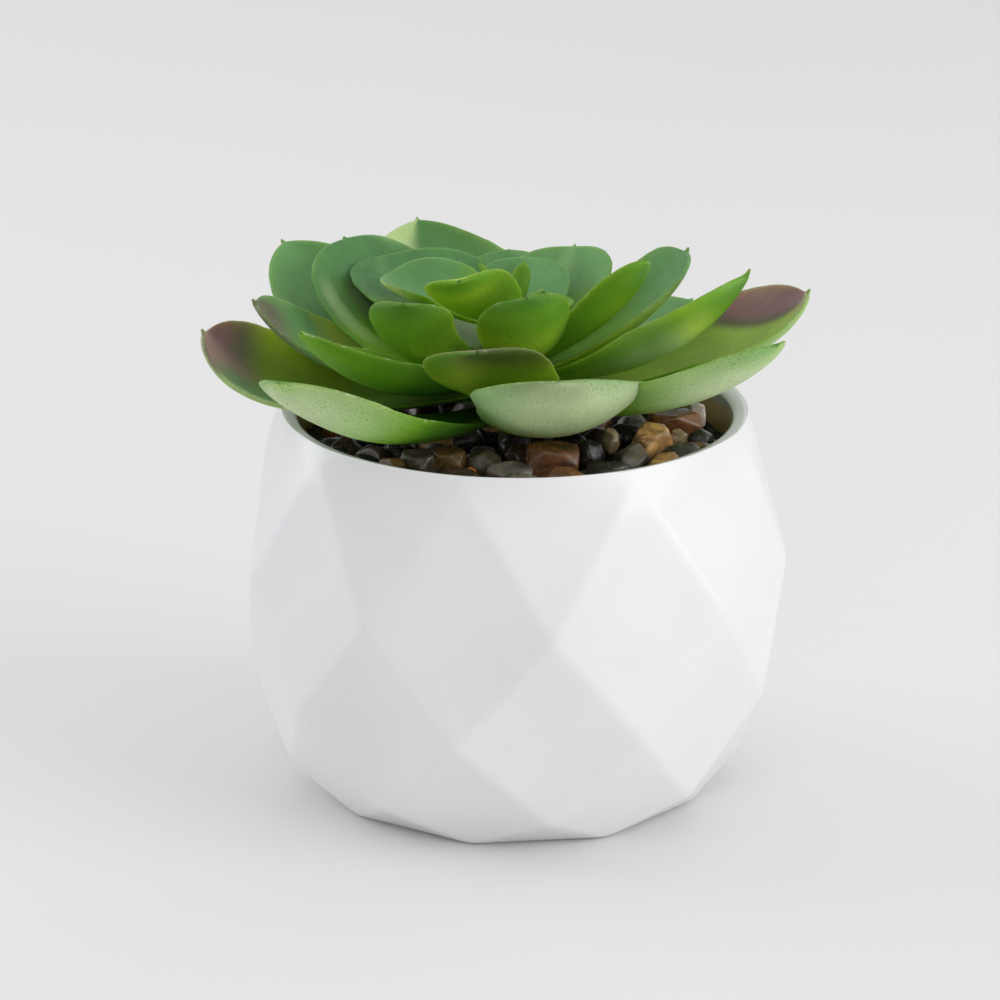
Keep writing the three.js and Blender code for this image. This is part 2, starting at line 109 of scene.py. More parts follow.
class AeoniumLeafSettings(bpy.types.PropertyGroup):
    """Sizes and colours of the leaves."""
    edge_thickness: length("Edge thickness", "Thickness of a blade at its margin", 0.38)
    thickness: length("Blade thickness", "Thickness of a blade at its midrib", 1.4)
    point_length: length("Point length", "Length of the small point at the tip", 1.2)
    fresh: colour("Fresh green", "Bright leaf green", (112, 162, 38))
    leafy: colour("Leaf green", "Plain leaf green", (92, 142, 32))
    deep: colour("Deep green", "Shaded leaf green", (62, 112, 24))
    # Dark green: painted shade at the leaf bases, and the own colour of the small points and the
    # speckle.
    night: colour("Dark green", "Dark green of leaf bases and points", (42, 78, 12))
    pale: colour("Pale green", "Whitish green of the undersides", (150, 182, 108))
    chalk: colour("Chalky green", "Whitest part of the undersides", (178, 197, 150))
    # Spring green: a yellow green, partly painted light that brightens leaf bases and undersides
    # deep in the rosette.
    spring: colour("Spring green", "Yellow green beside a crease", (190, 214, 92))
    moss: colour("Moss", "Yellowish grey green between green and maroon", (164, 190, 88))
    mist: colour("Misty green", "Bluish green of the outer leaves", (87, 138, 78))
    sage: colour("Sage", "Dull green of the leaves behind", (76, 126, 68))
    haze: colour("Hazy green", "Paler bluish green of the far leaves", (104, 152, 94))
    # Lime: the heart's own yellow green, partly a painted glow of light through the leaves.
    lime: colour("Lime", "Yellow green of the heart", (172, 206, 58))
    olive: colour("Olive", "Olive between green and maroon", (130, 158, 36))
    bronze: colour("Bronze", "Dark olive brown of the front leaf's top", (58, 78, 26))
    maroon: colour("Maroon", "Flushed tips", (140, 106, 112))
    # Dusk: painted sheen, the grey mauve highlight on the maroon tips.
    dusk: colour("Dusk", "Grey mauve beside the flushed tips", (164, 138, 130))
    ash: colour("Ash", "Brownish grey of a far tip", (107, 106, 84))
    # Cream: a pale whitish green; partly the leaves' own pale colour, and partly painted light and
    # painted highlight, as on the far leaves.
    cream: colour("Cream", "Worn pale patch of a far leaf", (184, 208, 148))
    scuff: colour("Scuffed rim", "Light wear along the margins", (206, 222, 176))


class AeoniumStageSettings(bpy.types.PropertyGroup):
    """Floor, light and camera."""
    floor: colour("Floor", "Colour of the floor", (236, 236, 234))
    key_power: power("Key light", "Power of the large soft light on the right", 3.3)
    fill_power: power("Fill light", "Power of the soft light on the left", 2.0)
    top_power: power("Top light", "Power of the soft light overhead", 1.0)
    ambient: bpy.props.FloatProperty(
        name="Ambient", description="Strength of the light from all round", default=0.7, min=0.0)
    lens: bpy.props.FloatProperty(
        name="Lens", description="Focal length of the camera in millimetres on a 36 mm sensor",
        default=162.0, min=10.0)


# ------------------------------------------------------------------------------ mesh helpers
def around(radius, turn, height):
    """Points at these radii, turns in radians and heights."""
    return np.stack(np.broadcast_arrays(
        radius * np.sin(turn), -radius * np.cos(turn), height), axis=-1)


def quads(rows, columns):
    """Corner numbers of the quads of a grid of points, row by row. The last column is joined to
    the first."""
    i, j = np.meshgrid(np.arange(rows - 1), np.arange(columns), indexing="ij")
    k = (j + 1) % columns
    corners = [i * columns + j, i * columns + k, (i + 1) * columns + k, (i + 1) * columns + j]
    return np.stack(corners, axis=-1).reshape(-1, 4)


def closed_tube(rings):
    """Points and faces of a closed skin over rings of points, an array of (rows, columns, 3):
    quads between the rings, and a fan at each end to the middle of the end ring."""
    rows, columns = rings.shape[:2]
    points = np.concatenate([rings.reshape(-1, 3), rings[:1].mean(axis=1), rings[-1:].mean(axis=1)])
    first = np.arange(columns)
    last = first + (rows - 1) * columns
    start = np.full(columns, rows * columns)
    return points, [quads(rows, columns),
                    np.stack([start, np.roll(first, -1), first], axis=-1),
                    np.stack([start + 1, last, np.roll(last, -1)], axis=-1)]


def closed_ring(rings):
    """The same for a skin with a hole through it, such as a washer: the last ring of points is
    joined to the first."""
    rows, columns = rings.shape[:2]
    first = np.arange(columns)
    last = first + (rows - 1) * columns
    seam = np.stack([last, np.roll(last, -1), np.roll(first, -1), first], axis=-1)
    return rings.reshape(-1, 3), [quads(rows, columns), seam]


def outward(points, faces):
    """The faces, turned round if the skin they make has a negative volume."""
    volume = 0.0
    for group in faces:
        first = points[group[:, 0]]
        for k in range(1, group.shape[1] - 1):
            cross = np.cross(points[group[:, k]], points[group[:, k + 1]])
            volume += float(np.einsum("ij,ij->", first, cross))
    return faces if volume > 0 else [group[:, ::-1] for group in faces]


def make_piece(name, points, faces, slot, replaced, attributes=None):
    """A smooth-shaded mesh piece from points in millimetres and groups of faces. attributes maps
    a name to one value or vector for each point."""
    faces = outward(points, faces)
    corners = np.concatenate([group.reshape(-1) for group in faces])
    sizes = np.concatenate([np.full(len(group), group.shape[1]) for group in faces])
    mesh = bpy.data.meshes.new(name)
    mesh.vertices.add(len(points))
    mesh.vertices.foreach_set("co", (points * MM).astype(np.float32).ravel())
    mesh.loops.add(len(corners))
    mesh.loops.foreach_set("vertex_index", corners.astype(np.int32))
    mesh.polygons.add(len(sizes))
    starts = np.concatenate([[0], np.cumsum(sizes)[:-1]])
    mesh.polygons.foreach_set("loop_start", starts.astype(np.int32))
    mesh.polygons.foreach_set("use_smooth", np.ones(len(sizes), dtype=bool))
    mesh.update(calc_edges=True)
    for key, values in (attributes or {}).items():
        values = np.asarray(values, dtype=np.float32)
        kind, field = {1: ("FLOAT", "value"), 3: ("FLOAT_VECTOR", "vector"),
                       4: ("FLOAT_COLOR", "color")}[1 if values.ndim == 1 else values.shape[1]]
        mesh.attributes.new(key, kind, "POINT").data.foreach_set(field, values.ravel())
    if mesh.validate():
        raise RuntimeError(f"{name} had faces that the mesh check removed")
    piece = bpy.data.objects.new(name, mesh)
    bpy.context.scene.collection.objects.link(piece)
    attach(piece, BODY)
    if replaced:
        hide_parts(replaced)
    return piece


def merged(parts):
    """Several skins as one: each part is (points, faces), or (points, faces, values...)."""
    points, faces, offset = [], [], 0
    for part in parts:
        points.append(part[0])
        faces.extend(group + offset for group in part[1])
        offset += len(part[0])
    extras = [np.concatenate([part[k] for part in parts]) for k in range(2, len(parts[0]))]
    return (np.concatenate(points), faces, *extras)


# ------------------------------------------------------------------------------ material helpers
class Shader:
    """A material with one Principled shader, and short ways to add and join nodes."""

    def __init__(self, name, roughness, **constants):
        self.material = bpy.data.materials.new(name)
        self.material.use_nodes = True
        self.nodes = self.material.node_tree.nodes
        self.links = self.material.node_tree.links
        self.surface = self.nodes["Principled BSDF"]
        self.surface.inputs["Roughness"].default_value = roughness
        for key, value in constants.items():
            self.surface.inputs[key.replace("_", " ")].default_value = value
        self.place = self.nodes.new("ShaderNodeTexCoord").outputs["Object"]

    def join(self, value, socket):
        """Links a socket, or sets a plain value."""
        if isinstance(value, bpy.types.NodeSocket):
            self.links.new(value, socket)
        elif value is not None:
            socket.default_value = value

    def scaled(self, vector, scale):
        """A vector scaled separately along its three axes."""
        node = self.nodes.new("ShaderNodeMapping")
        self.join(vector, node.inputs["Vector"])
        node.inputs["Scale"].default_value = scale
        return node.outputs["Vector"]

    def noise(self, scale, detail=3.0, roughness=0.55, vector=None, distortion=0.0):
        node = self.nodes.new("ShaderNodeTexNoise")
        self.join(vector or self.place, node.inputs["Vector"])
        node.inputs["Scale"].default_value = scale
        node.inputs["Detail"].default_value = detail
        node.inputs["Roughness"].default_value = roughness
        node.inputs["Distortion"].default_value = distortion
        return node.outputs["Fac"]

    def cells(self, scale):
        node = self.nodes.new("ShaderNodeTexVoronoi")
        self.join(self.place, node.inputs["Vector"])
        node.inputs["Scale"].default_value = scale
        return node.outputs["Distance"]

    def between(self, value, low, high, to_low=0.0, to_high=1.0):
        """A value's range from low to high, stretched smoothly to another range."""
        node = self.nodes.new("ShaderNodeMapRange")
        node.interpolation_type = "SMOOTHSTEP"
        self.join(value, node.inputs["Value"])
        for key, number in (("From Min", low), ("From Max", high),
                            ("To Min", to_low), ("To Max", to_high)):
            node.inputs[key].default_value = number
        return node.outputs["Result"]

    def math(self, operation, first, second=None):
        node = self.nodes.new("ShaderNodeMath")
        node.operation = operation
        self.join(first, node.inputs[0])
        self.join(second, node.inputs[1])
        return node.outputs[0]

    def mix(self, share, first, second, blend="MIX"):
        """Two colours mixed, or blended in another way."""
        node = self.nodes.new("ShaderNodeMix")
        node.data_type = "RGBA"
        node.blend_type = blend
        self.join(share, node.inputs[0])
        self.join(first, node.inputs[6])
        self.join(second, node.inputs[7])
        return node.outputs[2]

    def attribute(self, name, output="Color"):
        node = self.nodes.new("ShaderNodeAttribute")
        node.attribute_name = name
        return node.outputs[output]

    def bump(self, height, strength, distance):
        node = self.nodes.new("ShaderNodeBump")
        node.inputs["Strength"].default_value = strength
        node.inputs["Distance"].default_value = distance
        self.join(height, node.inputs["Height"])
        self.links.new(node.outputs["Normal"], self.surface.inputs["Normal"])

    def finish(self, base_colour, roughness=None):
        self.join(base_colour, self.surface.inputs["Base Color"])
        if roughness is not None:
            self.join(roughness, self.surface.inputs["Roughness"])
        return self.material


def tuple4(value):
    """A colour property as a plain tuple."""
    return tuple(float(channel) for channel in value)


# ------------------------------------------------------------------------------ pot
SIDES = 9
CORNER_TURN = 8.0                 # degrees that a belly corner stands right of the front
HEIGHT_A, HEIGHT_B, HEIGHT_C, HEIGHT_D = 57.4, 35.6, 19.0, 5.8    # rings of facet corners
RIM_HEIGHT = 59.0                 # the solids' rim, where the inner wall has the mouth's radius
FOOT_RADIUS = 29.0                # corners of the flat underside
LIP_START = 55.8                  # height where the wall begins to roll into the lip
LIP_TOP, LIP_CREST = 58.45, 34.5  # height and radius of the lip's highest ring
LIP_FALL = 0.6                    # how far the lip slopes down from its crest to the mouth
LIP_POWER = 2 / 2.3               # the lip's outer superellipse; 1 would be a plain ellipse
LIP_ROUND_FROM = 51.0             # height above which the facets melt towards a round lip
LIP_MELT = 0.7                    # how far they do, as a share
MOUTH_ROUNDING = 0.7
MOUTH_POWER = 0.5
CAVITY_FLOOR = 5.0
CAVITY_FLOOR_RADIUS = 25.0
CAVITY_HEEL = 14.0
CAVITY_HEEL_RADIUS = 31.0
FOOT_ROUNDING = 0.8
SHADE_DEPTH_IN_MOUTH = 1.6                # over this height the glaze's colour gives way to the painted shade inside the mouth


def cavity_radius(height, mouth):
    """Radius of the pot's inner wall: it widens evenly from the heel to the mouth."""
    share = (height - CAVITY_HEEL) / (RIM_HEIGHT - CAVITY_HEEL)
    return CAVITY_HEEL_RADIUS + (mouth - CAVITY_HEEL_RADIUS) * share


def facet_planes(belly, shoulder):
    """Planes (unit normal, distance) of the pot's facets. Nine corners stand at each of five
    heights A to E, those of A, C and E half a step on from B and D. Each facet is given by three
    corners: the upper and lower kites, and the triangles above and below them."""
    middle = math.cos(math.pi / SIDES)
    drop_c = (HEIGHT_A - HEIGHT_C) / (HEIGHT_A - HEIGHT_B)
    drop_d = (HEIGHT_B - HEIGHT_D) / (HEIGHT_B - HEIGHT_C)
    radius_c = shoulder + (belly * middle - shoulder) * drop_c
    radius_d = belly + (radius_c * middle - belly) * drop_d
    step = np.arange(SIDES)

    def ring(radius, height, shift):
        """The corners of a ring, and for each the next one round."""
        return [around(radius, np.radians(CORNER_TURN + (step + ahead + shift) * 360 / SIDES),
                       height) for ahead in (0, 1)]

    a, a_next = ring(shoulder, HEIGHT_A, 0.5)
    b, b_next = ring(belly, HEIGHT_B, 0)
    c, c_next = ring(radius_c, HEIGHT_C, 0.5)
    d, d_next = ring(radius_d, HEIGHT_D, 0)
    e, e_next = ring(FOOT_RADIUS, 0.0, 0.5)
    facets = [(a, a_next, b_next), (a, b, b_next), (b_next, c, c_next), (c, d, d_next),
              (d, d_next, e), (e, e_next, d_next)]
    normals, distances = [], []
    for first, second, third in facets:
        normal = np.cross(second - first, third - first)
        normal /= np.linalg.norm(normal, axis=1, keepdims=True)
        normal *= np.sign(np.einsum("ij,ij->i", normal[:, :2], first[:, :2]))[:, None]
        normals.append(normal)
        distances.append(np.einsum("ij,ij->i", normal, first))
    return np.concatenate(normals), np.concatenate(distances)


def pot_radius(turns, heights, planes, hardness):
    """Radius of the pot's outside at arrays of turns and heights. The radius of one facet's plane
    is (distance - nz * z) / (n . direction), and the pot's is the soft minimum of them all:
    (sum of radius ** -p) ** (-1 / p). A larger p gives crisper edges."""
    normals, distances = planes
    across = (normals[:, 0, None, None] * np.sin(turns)[None]
              - normals[:, 1, None, None] * np.cos(turns)[None])
    away = distances[:, None, None] - normals[:, 2, None, None] * heights[None]
    radii = np.where(across > 1e-3, away / np.maximum(across, 1e-3), 1e3)
    nearest = radii.min(axis=0)
    return nearest * np.sum((radii / nearest) ** -hardness, axis=0) ** (-1 / hardness)


def pot_skin(settings, around_count=432):
    """The pot as one closed skin of rings: over the underside, up the faceted wall, round the lip,
    down the inner wall and over the cavity's floor. Towards the lip the radius moves partly from
    the facets' to their mean, as a smooth step of the height. The lip is two quarter
    superellipses: a broad one from the wall up to the crest, and a squarer one that slopes gently
    from the crest to a crisp mouth. Gives the points, the faces and how far inside the mouth each
    point lies, from 0 to 1."""
    belly, shoulder = settings.belly_radius / MM, settings.shoulder_radius / MM
    mouth, hardness = settings.mouth_radius / MM, settings.edge_hardness
    planes = facet_planes(belly, shoulder)
    turns = np.linspace(0, 2 * np.pi, around_count, endpoint=False)[None, :]

    def wall(heights):
        grid = np.broadcast_to(heights[:, None], (len(heights), around_count))
        faceted = pot_radius(np.broadcast_to(turns, grid.shape), grid, planes, hardness)
        share = np.clip((grid - LIP_ROUND_FROM) / (LIP_TOP - LIP_ROUND_FROM), 0, 1)
        melt = LIP_MELT * share * share * (3 - 2 * share)
        return faceted + (faceted.mean(axis=1, keepdims=True) - faceted) * melt, grid

    foot = np.radians(np.linspace(0, 90, 6))
    foot_height = FOOT_ROUNDING * (1 - np.cos(foot))
    foot_radius, foot_grid = wall(foot_height)
    foot_radius = foot_radius - FOOT_ROUNDING * (1 - np.sin(foot))[:, None]
    disc_radius = foot_radius[:1] * np.linspace(0.12, 0.96, 6)[:, None]
    side_radius, side_grid = wall(np.linspace(FOOT_ROUNDING, LIP_START, 124)[1:])
    rolling = np.radians(np.linspace(0, 90, 16))[1:]
    outer_height = LIP_START + (LIP_TOP - LIP_START) * np.sin(rolling) ** LIP_POWER
    outer_radius, outer_grid = wall(outer_height)
    outer_radius = LIP_CREST + (outer_radius - LIP_CREST) * np.cos(rolling)[:, None] ** LIP_POWER
    falling = np.radians(np.linspace(0, 90, 16))[1:, None]
    lip_foot = LIP_TOP - MOUTH_ROUNDING - LIP_FALL
    inward = np.sin(falling) ** MOUTH_POWER
    fall_radius = LIP_CREST + (cavity_radius(lip_foot, mouth) - LIP_CREST) * inward
    fall_height = (lip_foot + MOUTH_ROUNDING * np.cos(falling) ** MOUTH_POWER
                   + LIP_FALL * (1 - inward))
    inner_height = np.linspace(lip_foot, CAVITY_HEEL, 40)[1:, None]
    inner_radius = cavity_radius(inner_height, mouth)
    floor = np.array([[CAVITY_FLOOR_RADIUS + 4, CAVITY_FLOOR + 3],
                      [CAVITY_FLOOR_RADIUS, CAVITY_FLOOR],
                      [0.5 * CAVITY_FLOOR_RADIUS, CAVITY_FLOOR], [2.0, CAVITY_FLOOR]])
    level = np.ones((1, around_count))
    radius = np.concatenate([disc_radius, foot_radius, side_radius, outer_radius,
                             fall_radius * level, inner_radius * level, floor[:, :1] * level])
    height = np.concatenate([np.zeros_like(disc_radius), foot_grid, side_grid, outer_grid,
                             fall_height * level, inner_height * level, floor[:, 1:] * level])
    points, faces = closed_tube(around(radius, np.broadcast_to(turns, radius.shape), height))
    below = lip_foot - 0.2 - np.concatenate([inner_height, floor[:, 1:]])
    deep = np.clip(below / SHADE_DEPTH_IN_MOUTH, 0, 1)
    inside = np.zeros_like(radius)
    inside[-len(deep):] = deep
    return points, faces, np.concatenate([inside.ravel(), [0.0, 1.0]])


def glaze_material(settings):
    """White glaze: barely tinted clouds where it lies thicker, a glossy coat over a slightly softer
    body, and painted shade, tinted brown like the pebbles' reflection, on the wall inside the
    mouth."""
    shader = Shader("white_glaze", 0.3, Coat_Weight=0.35, Coat_Roughness=0.14, IOR=1.46)
    cloud = shader.between(shader.noise(28.0, 2.0), 0.3, 0.7)
    tint = shader.mix(cloud, tuple4(settings.glaze), tuple4(settings.pooled_glaze))
    # Inside the mouth the glaze's colour gives way, with a ragged edge, to the painted shade.
    edge = shader.math("ADD", shader.attribute("inside", "Fac"),
                       shader.between(shader.noise(240.0, 3.0), 0.3, 0.7, -0.12, 0.12))
    shaded_mouth_wall = shader.mix(shader.between(edge, 0.1, 0.9), tint, tuple4(settings.mouth_shade_colour))
    return shader.finish(shaded_mouth_wall, shader.between(shader.noise(90.0, 2.0), 0.3, 0.7, 0.3, 0.36))


class AEONIUM_OT_pot(bpy.types.Operator):
    """Builds the faceted pot and its glaze"""
    bl_idname = "aeonium.pot"
    bl_label = "Faceted pot"

    def execute(self, context):
        settings = context.scene.aeonium_pot
        points, faces, inside = pot_skin(settings)
        piece = make_piece("pot_glazed", points, faces, "glaze", "pot", {"inside": inside})
        piece.data.materials.append(glaze_material(settings))
        return {"FINISHED"}


# ------------------------------------------------------------------------------ filling
SOIL_TOP = 50.5
BED_FOOT = SOIL_TOP + GAP
BED_THICKNESS = 1.6
PEBBLE_INNER, PEBBLE_OUTER = 6.2, 28.6
GOLDEN_ANGLE = 137.508
PEBBLE_SEED = 11
STEM_RADIUS = 2.4
CORNERS_SHOWN, CORNERS_RULED = 42, 12    # draws that the solids use for each stone's corners
STONE_PLANES = 16
BLOCK_FROM = 70                   # roundness number from which a stone is a rough block
FINE, COARSE = (34, 48), (16, 24) # rows and columns of a shown and of a ruled stone's skin
SHOWN_SEED, RULED_SEED = 40, 100  # of the first stone's planes, with one more for each stone
CLEAR_OF_SHOWN = 4.6              # a ruled pebble nearer than this to a shown one is left out
CLEAR_OF_SEEN = 3.7               # the same for the seen stones that the scene lays over them

STONE_COLOURS = {
    "black": (30, 29, 31), "slate": (66, 62, 58), "grey": (112, 104, 94), "ash": (136, 130, 122),
    "moss": (92, 86, 64), "umber": (66, 48, 36), "brown": (122, 80, 48), "rust": (186, 96, 34),
    "tan": (218, 168, 104), "sand": (166, 146, 112), "ochre": (118, 92, 50),
    "quartz": (214, 196, 186),
}
RULED_STONES = ("black", "slate", "umber", "brown", "grey", "slate", "moss", "umber", "umber",
                "black", "ash", "brown", "tan")

# Named pebbles of the solids: [x, y], top, half sizes, yaw; then colour and roundness.
SHOWN_PEBBLES = (
    ((0.5, -27.4), 56.6, (4.1, 2.6, 2.3), 4, "grey", 26),
    ((7.2, -25.6), 57.2, (3.6, 3.0, 3.2), -12, "brown", 34),
    ((12.4, -21.8), 56.9, (2.7, 2.7, 2.7), 30, "black", 18),
    ((17.2, -24.2), 55.9, (3.4, 2.5, 2.3), 28, "slate", 22),
    ((21.6, -18.4), 57.4, (3.2, 2.6, 2.9), 60, "tan", 60),
    ((26.4, -14.2), 57.2, (4.3, 2.6, 2.6), 12, "brown", 50),
    ((27.6, -8.0), 56.4, (2.8, 3.3, 2.6), 0, "slate", 20),
    ((23.8, -20.0), 55.6, (3.0, 2.3, 2.2), 44, "black", 18),
    ((-8.6, -25.4), 57.0, (4.4, 3.0, 3.0), -18, "umber", 30),
    ((-5.0, -28.4), 55.2, (2.6, 1.9, 1.8), 8, "slate", 24),
    ((-15.6, -23.6), 56.2, (3.4, 2.9, 2.6), -40, "umber", 26),
    ((-21.8, -18.6), 56.4, (3.6, 2.8, 2.7), -55, "black", 22),
)

# Stones that the scene lays where the photographed view sees them over the lip.
SEEN_STONES = (
    ((5.5, -18.4), 58.7, (3.9, 3.0, 3.9), -4, "brown", 90),
    ((10.8, -16.6), 58.7, (2.1, 2.2, 3.2), 10, "black", 14),
    # This small black stone stands in for the dark shadow in the gap below the front stones:
    # painted shadow.
    ((10.8, -21.4), 55.7, (2.2, 1.7, 1.7), 30, "black", 24),
    ((13.9, -11.6), 58.7, (1.5, 1.6, 1.9), 20, "sand", 20),
    ((17.3, -16.2), 57.6, (2.7, 2.1, 2.5), 50, "grey", 22),
    ((14.4, -20.2), 56.3, (2.9, 1.9, 1.8), 12, "slate", 20),
    ((20.0, -11.6), 59.3, (2.8, 2.3, 3.1), 35, "tan", 110),
    ((23.7, -4.4), 59.2, (4.3, 2.1, 2.6), 8, "brown", 80),
    ((26.9, -3.0), 59.9, (1.2, 1.4, 1.8), 8, "quartz", 70),
    ((24.2, -15.4), 57.6, (3.4, 2.3, 2.5), 24, "slate", 18),
    ((27.0, -9.6), 57.9, (2.2, 1.7, 2.0), 20, "black", 16),
    ((24.0, -9.6), 58.0, (1.6, 1.2, 1.5), 0, "sand", 20),
    ((-0.8, -21.0), 56.7, (4.1, 2.4, 2.3), -5, "grey", 20),
    ((-4.4, -17.2), 57.1, (3.0, 2.3, 2.3), 10, "moss", 18),
    ((1.0, -14.2), 56.9, (2.3, 2.0, 1.9), 0, "umber", 22),
    ((-9.6, -18.0), 57.7, (2.8, 2.3, 2.9), -20, "ochre", 75),
    ((-14.0, -18.6), 57.2, (2.6, 2.3, 2.6), -35, "moss", 70),
    ((-17.6, -19.4), 56.5, (2.5, 1.9, 1.9), -40, "ochre", 24),
    ((-6.7, -22.4), 56.0, (1.3, 1.0, 1.1), 0, "rust", 30),
    # These three dark stones are real stones, and their dark colours also stand in for the shade at
    # the far left of the bed: partly painted shade.
    ((-20.2, -14.4), 56.7, (3.8, 2.7, 2.6), -50, "umber", 24),
    ((-24.6, -10.4), 56.5, (3.4, 2.8, 2.5), -60, "umber", 22),
    ((-25.6, -13.8), 56.2, (1.8, 1.7, 1.7), 0, "black", 18),
)


def seeded_draws(seed):
    """The same row of draws as the solids use: state = (state * 1664525 + 1013904223) mod 2^32."""
    state = seed
    while True:
        state = (state * 1664525 + 1013904223) % 4294967296
        yield state / 4294967296


def stone_skin(centre, half, yaw, roundness, seed, grid):
    """One stone. In each direction its radius is the soft minimum of the distances to sixteen
    seeded planes round it, which gives flats with worn edges between them; a low roundness number
    rounds the stone, a high one leaves it angular. A rough block has the six planes of a box and
    eight that cut its corners. It is then stretched by its half sizes and turned."""
    draws = np.random.default_rng(seed)
    block = roundness >= BLOCK_FROM
    slant = 1 - 2 * (np.arange(STONE_PLANES) + 0.5) / STONE_PLANES
    spin = np.radians(GOLDEN_ANGLE) * np.arange(STONE_PLANES) + draws.uniform(0, 6.28)
    flat = np.sqrt(1 - slant ** 2)
    normals = np.stack([flat * np.cos(spin), flat * np.sin(spin), slant], axis=-1)
    distances = draws.uniform(0.82, 1.0, STONE_PLANES)
    if block:
        signs = np.array(np.meshgrid([-1, 1], [-1, 1], [-1, 1])).reshape(3, -1).T
        normals = np.concatenate([np.eye(3), -np.eye(3), signs])
        distances = np.concatenate([draws.uniform(0.84, 0.96, 6), draws.uniform(1.02, 1.3, 8)])
    normals += draws.normal(0, 0.1 if block else 0.16, normals.shape)
    normals /= np.linalg.norm(normals, axis=1, keepdims=True)
    rows, columns = grid
    polar = np.linspace(0, np.pi, rows + 2)[1:-1, None]
    turn = np.linspace(0, 2 * np.pi, columns, endpoint=False)[None, :]
    ways = np.stack(np.broadcast_arrays(
        np.sin(polar) * np.cos(turn), np.sin(polar) * np.sin(turn), np.cos(polar)), axis=-1)
    facing = np.maximum(np.einsum("rci,ki->rck", ways, normals), 1e-3) / distances
    radius = np.sum(facing ** roundness, axis=-1) ** (-1 / roundness)
    radius = np.minimum(radius, 1.35 if block else 1.08)
    local = ways * radius[..., None] * np.asarray(half)
    angle = math.radians(yaw)
    spun = np.stack([local[..., 0] * math.cos(angle) - local[..., 1] * math.sin(angle),
                     local[..., 0] * math.sin(angle) + local[..., 1] * math.cos(angle),
                     local[..., 2]], axis=-1)
    return closed_tube(spun + np.asarray(centre))


def kept_in(points, mouth):
    """Points moved along their radius so that they stay between the stem and the pot's wall, and
    above the filler."""
    radius = np.hypot(points[:, 0], points[:, 1])
    wall = cavity_radius(points[:, 2], mouth) - 2 * GAP
    held = np.clip(radius, STEM_RADIUS + GAP, wall) / np.maximum(radius, 1e-6)
    return np.stack([points[:, 0] * held, points[:, 1] * held,
                     np.maximum(points[:, 2], BED_FOOT)], axis=-1)


def coloured_stone(skin, name, draw, mouth):
    """A stone's skin with its colour, a little lighter or darker than its kind."""
    points, faces = skin
    shade = np.array(srgb(*STONE_COLOURS[name]))
    shade[:3] *= 0.75 + 0.5 * draw
    return kept_in(points, mouth), faces, np.tile(shade, (len(points), 1))


def ruled_pebbles(settings):
    """Places of the pebbles along a golden-angle spiral, with the solids' own draws."""
    draws = seeded_draws(PEBBLE_SEED)
    for _ in range(CORNERS_SHOWN * len(SHOWN_PEBBLES)):
        next(draws)
    smallest, spread = settings.smallest / MM, settings.spread / MM
    for i in range(settings.count):
        share = (i + 0.5) / settings.count
        radius = math.sqrt(PEBBLE_INNER ** 2 + share * (PEBBLE_OUTER ** 2 - PEBBLE_INNER ** 2))
        turn = math.radians(i * GOLDEN_ANGLE + 8 * next(draws))
        size = smallest + spread * next(draws)
        flat = size * (0.62 + 0.25 * next(draws))
        top = BED_FOOT + BED_THICKNESS + flat * (1 + 0.4 * next(draws))
        yaw = 180 * next(draws)
        x, y = radius * math.sin(turn), -radius * math.cos(turn)
        if any(math.hypot(at[0] - x, at[1] - y) < CLEAR_OF_SHOWN for at, *_ in SHOWN_PEBBLES):
            continue
        for _ in range(CORNERS_RULED):
            next(draws)
        if any(math.hypot(at[0] - x, at[1] - y) < CLEAR_OF_SEEN for at, *_ in SEEN_STONES):
            continue
        yield (x, y, top - flat), (size, size * 0.78, flat), yaw


def grit_skin(mouth):
    """The bed of grit: a disc whose top is raised by sums of sines of the place, like crumbs, and
    which ends in a straight side."""
    turns = np.linspace(0, 2 * np.pi, 180, endpoint=False)[None, :]
    edge = cavity_radius(BED_FOOT, mouth) - 2 * GAP
    radii = np.linspace(STEM_RADIUS + GAP, edge, 46)[:, None]
    x, y = radii * np.sin(turns), -radii * np.cos(turns)
    rough = (np.sin(3.1 * x + 1.7 * np.sin(2.3 * y)) * np.sin(2.7 * y + 1.3 * np.sin(1.9 * x))
             + 0.5 * np.sin(6.3 * x + 2.0 * y) * np.sin(5.1 * y - 2.4 * x))
    top = BED_FOOT + BED_THICKNESS + 0.28 * rough
    under = np.array([[edge], [STEM_RADIUS + GAP]])
    radius = np.concatenate([radii, under]) * np.ones_like(turns)
    height = np.concatenate([top, np.full((2, 180), BED_FOOT)])
    return closed_ring(around(radius, np.broadcast_to(turns, radius.shape), height))


def stone_material(name, roughness, coat):
    """Polished stone: each stone's own colour, clouded and flecked, with a wet-looking coat."""
    shader = Shader(name, roughness, Coat_Weight=coat, Coat_Roughness=0.12, IOR=1.5)
    own = shader.attribute("stone_colour")
    cloud = shader.between(shader.noise(420.0, 4.0), 0.3, 0.72, 0.55, 1.4)
    clouded = shader.mix(1.0, own, cloud, "MULTIPLY")
    fleck = shader.between(shader.noise(1900.0, 2.0, 0.7), 0.62, 0.72, 0.0, 0.45)
    flecked = shader.mix(fleck, clouded, srgb(176, 160, 140))
    band = shader.noise(160.0, 2.0, 0.5, shader.scaled(shader.place, (1.0, 1.0, 3.2)), 1.4)
    veined = shader.mix(shader.between(band, 0.56, 0.66, 0.0, 0.5), flecked, srgb(40, 28, 22))
    shader.bump(shader.noise(1300.0, 3.0), 0.22, 0.0002)
    return shader.finish(veined, shader.between(shader.noise(700.0, 2.0), 0.35, 0.65,
                                                roughness * 0.6, roughness * 1.6))


